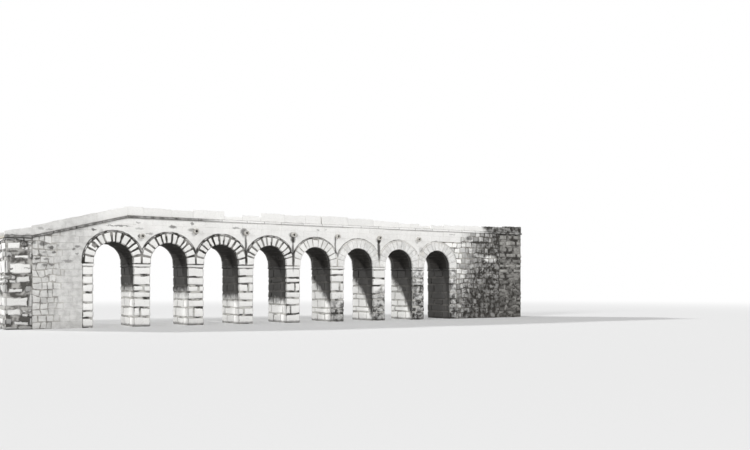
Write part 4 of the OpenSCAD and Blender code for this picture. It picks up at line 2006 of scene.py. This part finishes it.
@dataclass(frozen=True)
class Bridge:
    """The whole bridge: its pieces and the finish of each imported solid."""

    form: BridgeForm
    ring_proud: float = 0.012

    def pieces(self) -> list[Piece]:
        """Sizes every dressed piece.

        Returns:
            The pieces, in the order in which they are built.
        """
        form = self.form
        back, front = form.west_abutment
        east_front, east_back = form.east_abutment
        half, face = form.pier_half, form.dressed_y + self.ring_proud
        rings = ArchStones(
            form, "ring_stones", Slot.DRESSED, 11, (RING_STONE,), near_y=-face, far_y=-form.inner_y - 0.01,
            inner_r=form.clear_r - 0.008, outer_r=form.extrados_r - 0.040, mitred=True, both_faces=True,
            joints=(0.036, 0.033, 0.034, 0.030, 0.018, 0.007, 0.007, 0.008), spread=0.55, shift=0.034,
            short=0.040, rounding=0.046, wear=0.014,
        )
        labels = ArchStones(
            form, "label_stones", Slot.DRESSED, 23, (LABEL_STONE,), near_y=-face, far_y=rings.far_y,
            inner_r=form.extrados_r - 0.038, outer_r=form.extrados_r - 0.003, joints=(0.008,), courses=9,
            mitred=True, both_faces=True, mitre_start=17.0, shift=0.03, rounding=0.012,
        )
        vaults = ArchStones(
            form, "vault_stones", Slot.VAULT, 12, (VAULT_SOOT_AND_SHADE_STONE,), near_y=-form.inner_y, far_y=form.inner_y,
            inner_r=form.clear_r - 0.006, outer_r=form.clear_r + 0.06, rows=3, grid=BlockGrid(3, 2, 2),
        )
        piers = BlockStones(
            form, "pier_stones", Slot.BLOCK, 13, (PIER_STONE, PIER_MORTAR),
            tuple(f"pier_{k + 1}" for k in range(len(form.pier_x))),
            blocks=tuple(Block(x - half, x + half, True, True) for x in form.pier_x.tolist()),
            impost=True, joint=0.026, rounding=0.044, wander=0.026, heart_inset=0.030, side_len=1.6,
        )
        abutments = replace(
            piers, name="abutment_stones", seed=14, stands_for=("west_abutment", "east_abutment"),
            blocks=(Block(back, front, False, True), Block(east_front, east_back, True, False)),
            pair_every=1, side_len=1.1,
        )
        west_end = BlockStones(
            form, "west_end_stones", Slot.BLOCK, 17, (WEST_END_STONE, QUOIN_MORTAR), ("west_end_block",),
            blocks=(Block(form.west_x, form.foot_x, True, False),), joint=0.050, rounding=0.050, wear=0.030,
            chips=1.6, jut=0.025, wander=0.045, heart_inset=0.045, quoins=WEST_QUOINS, grid=BlockGrid(6, 2, 5),
        )
        east_end = BlockStones(
            form, "east_end_stones", Slot.BLOCK, 18, (EAST_END_STONE, DARK_MORTAR), ("east_end_block",),
            blocks=(Block(form.east_block_x, form.east_x, False, True),), course_h=0.29, uneven=0.15,
            front_len=0.52, joint=0.060, rounding=0.055, wear=0.022, jut=0.020, wander=0.050,
        )
        string = StringStones(
            form, "string_stones", Slot.DRESSED, 19, (STRING_STONE,), ("string_course",),
            broken=((-2.07, -1.69), (2.16, 4.02)),
        )
        return [
            rings,
            labels,
            vaults,
            piers,
            abutments,
            WallStones(form, "wall_stones", Slot.WALLING, 16, (WALL_STONE,)),
            west_end,
            east_end,
            string,
            ParapetSlabs(form, "parapet_slabs", Slot.PARAPET, 20, (SLAB_STONE,), ("parapet_near", "parapet_far")),
            RoadSurface(form, "road_surface", Slot.PAVING, 21, (ROAD_STONE,), ("roadway",)),
            DrainSpouts(form, "spouts", Slot.DRESSED, 22, (SPOUT_STONE,), ("drain_spouts",)),
        ]

    @staticmethod
    def backing(name: str) -> StoneFinish:
        """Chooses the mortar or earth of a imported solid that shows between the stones.

        Args:
            name: name of the solid.

        Returns:
            Its finish.
        """
        if name in ("east_wing", "spandrel_east"):
            return EAST_MORTAR
        if name.startswith("spandrel") or name == "west_wing":
            return LIGHT_MORTAR
        if name == "rubble_fill":
            return RUBBLE_EARTH
        if name.startswith("arch_ring"):
            number = int(name.rsplit("_", 1)[1])
            return RING_MORTAR if number > 5 else GREY_MORTAR if number == 5 else DARK_MORTAR
        return DARK_MORTAR

    def build(self, nodes: Mapping[str, bpy.types.Object]) -> None:
        """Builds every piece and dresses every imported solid.

        Args:
            nodes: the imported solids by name.
        """

        @cache
        def material(finish: StoneFinish) -> bpy.types.Material:
            """The finish's material, made once."""
            return finish.paint(self.form)

        for piece in self.pieces():
            piece.place([material(finish) for finish in piece.finishes])
        for name, node in nodes.items():
            node.data.materials.clear()
            node.data.materials.append(material(self.backing(name)))


def main() -> None:
    """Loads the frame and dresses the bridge."""
    logging.basicConfig(level=logging.INFO, format="%(message)s")
    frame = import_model()
    Bridge(BridgeForm.from_nodes(frame["nodes"])).build(frame["nodes"])
    Stage().build()


if __name__ == "__main__":
    main()
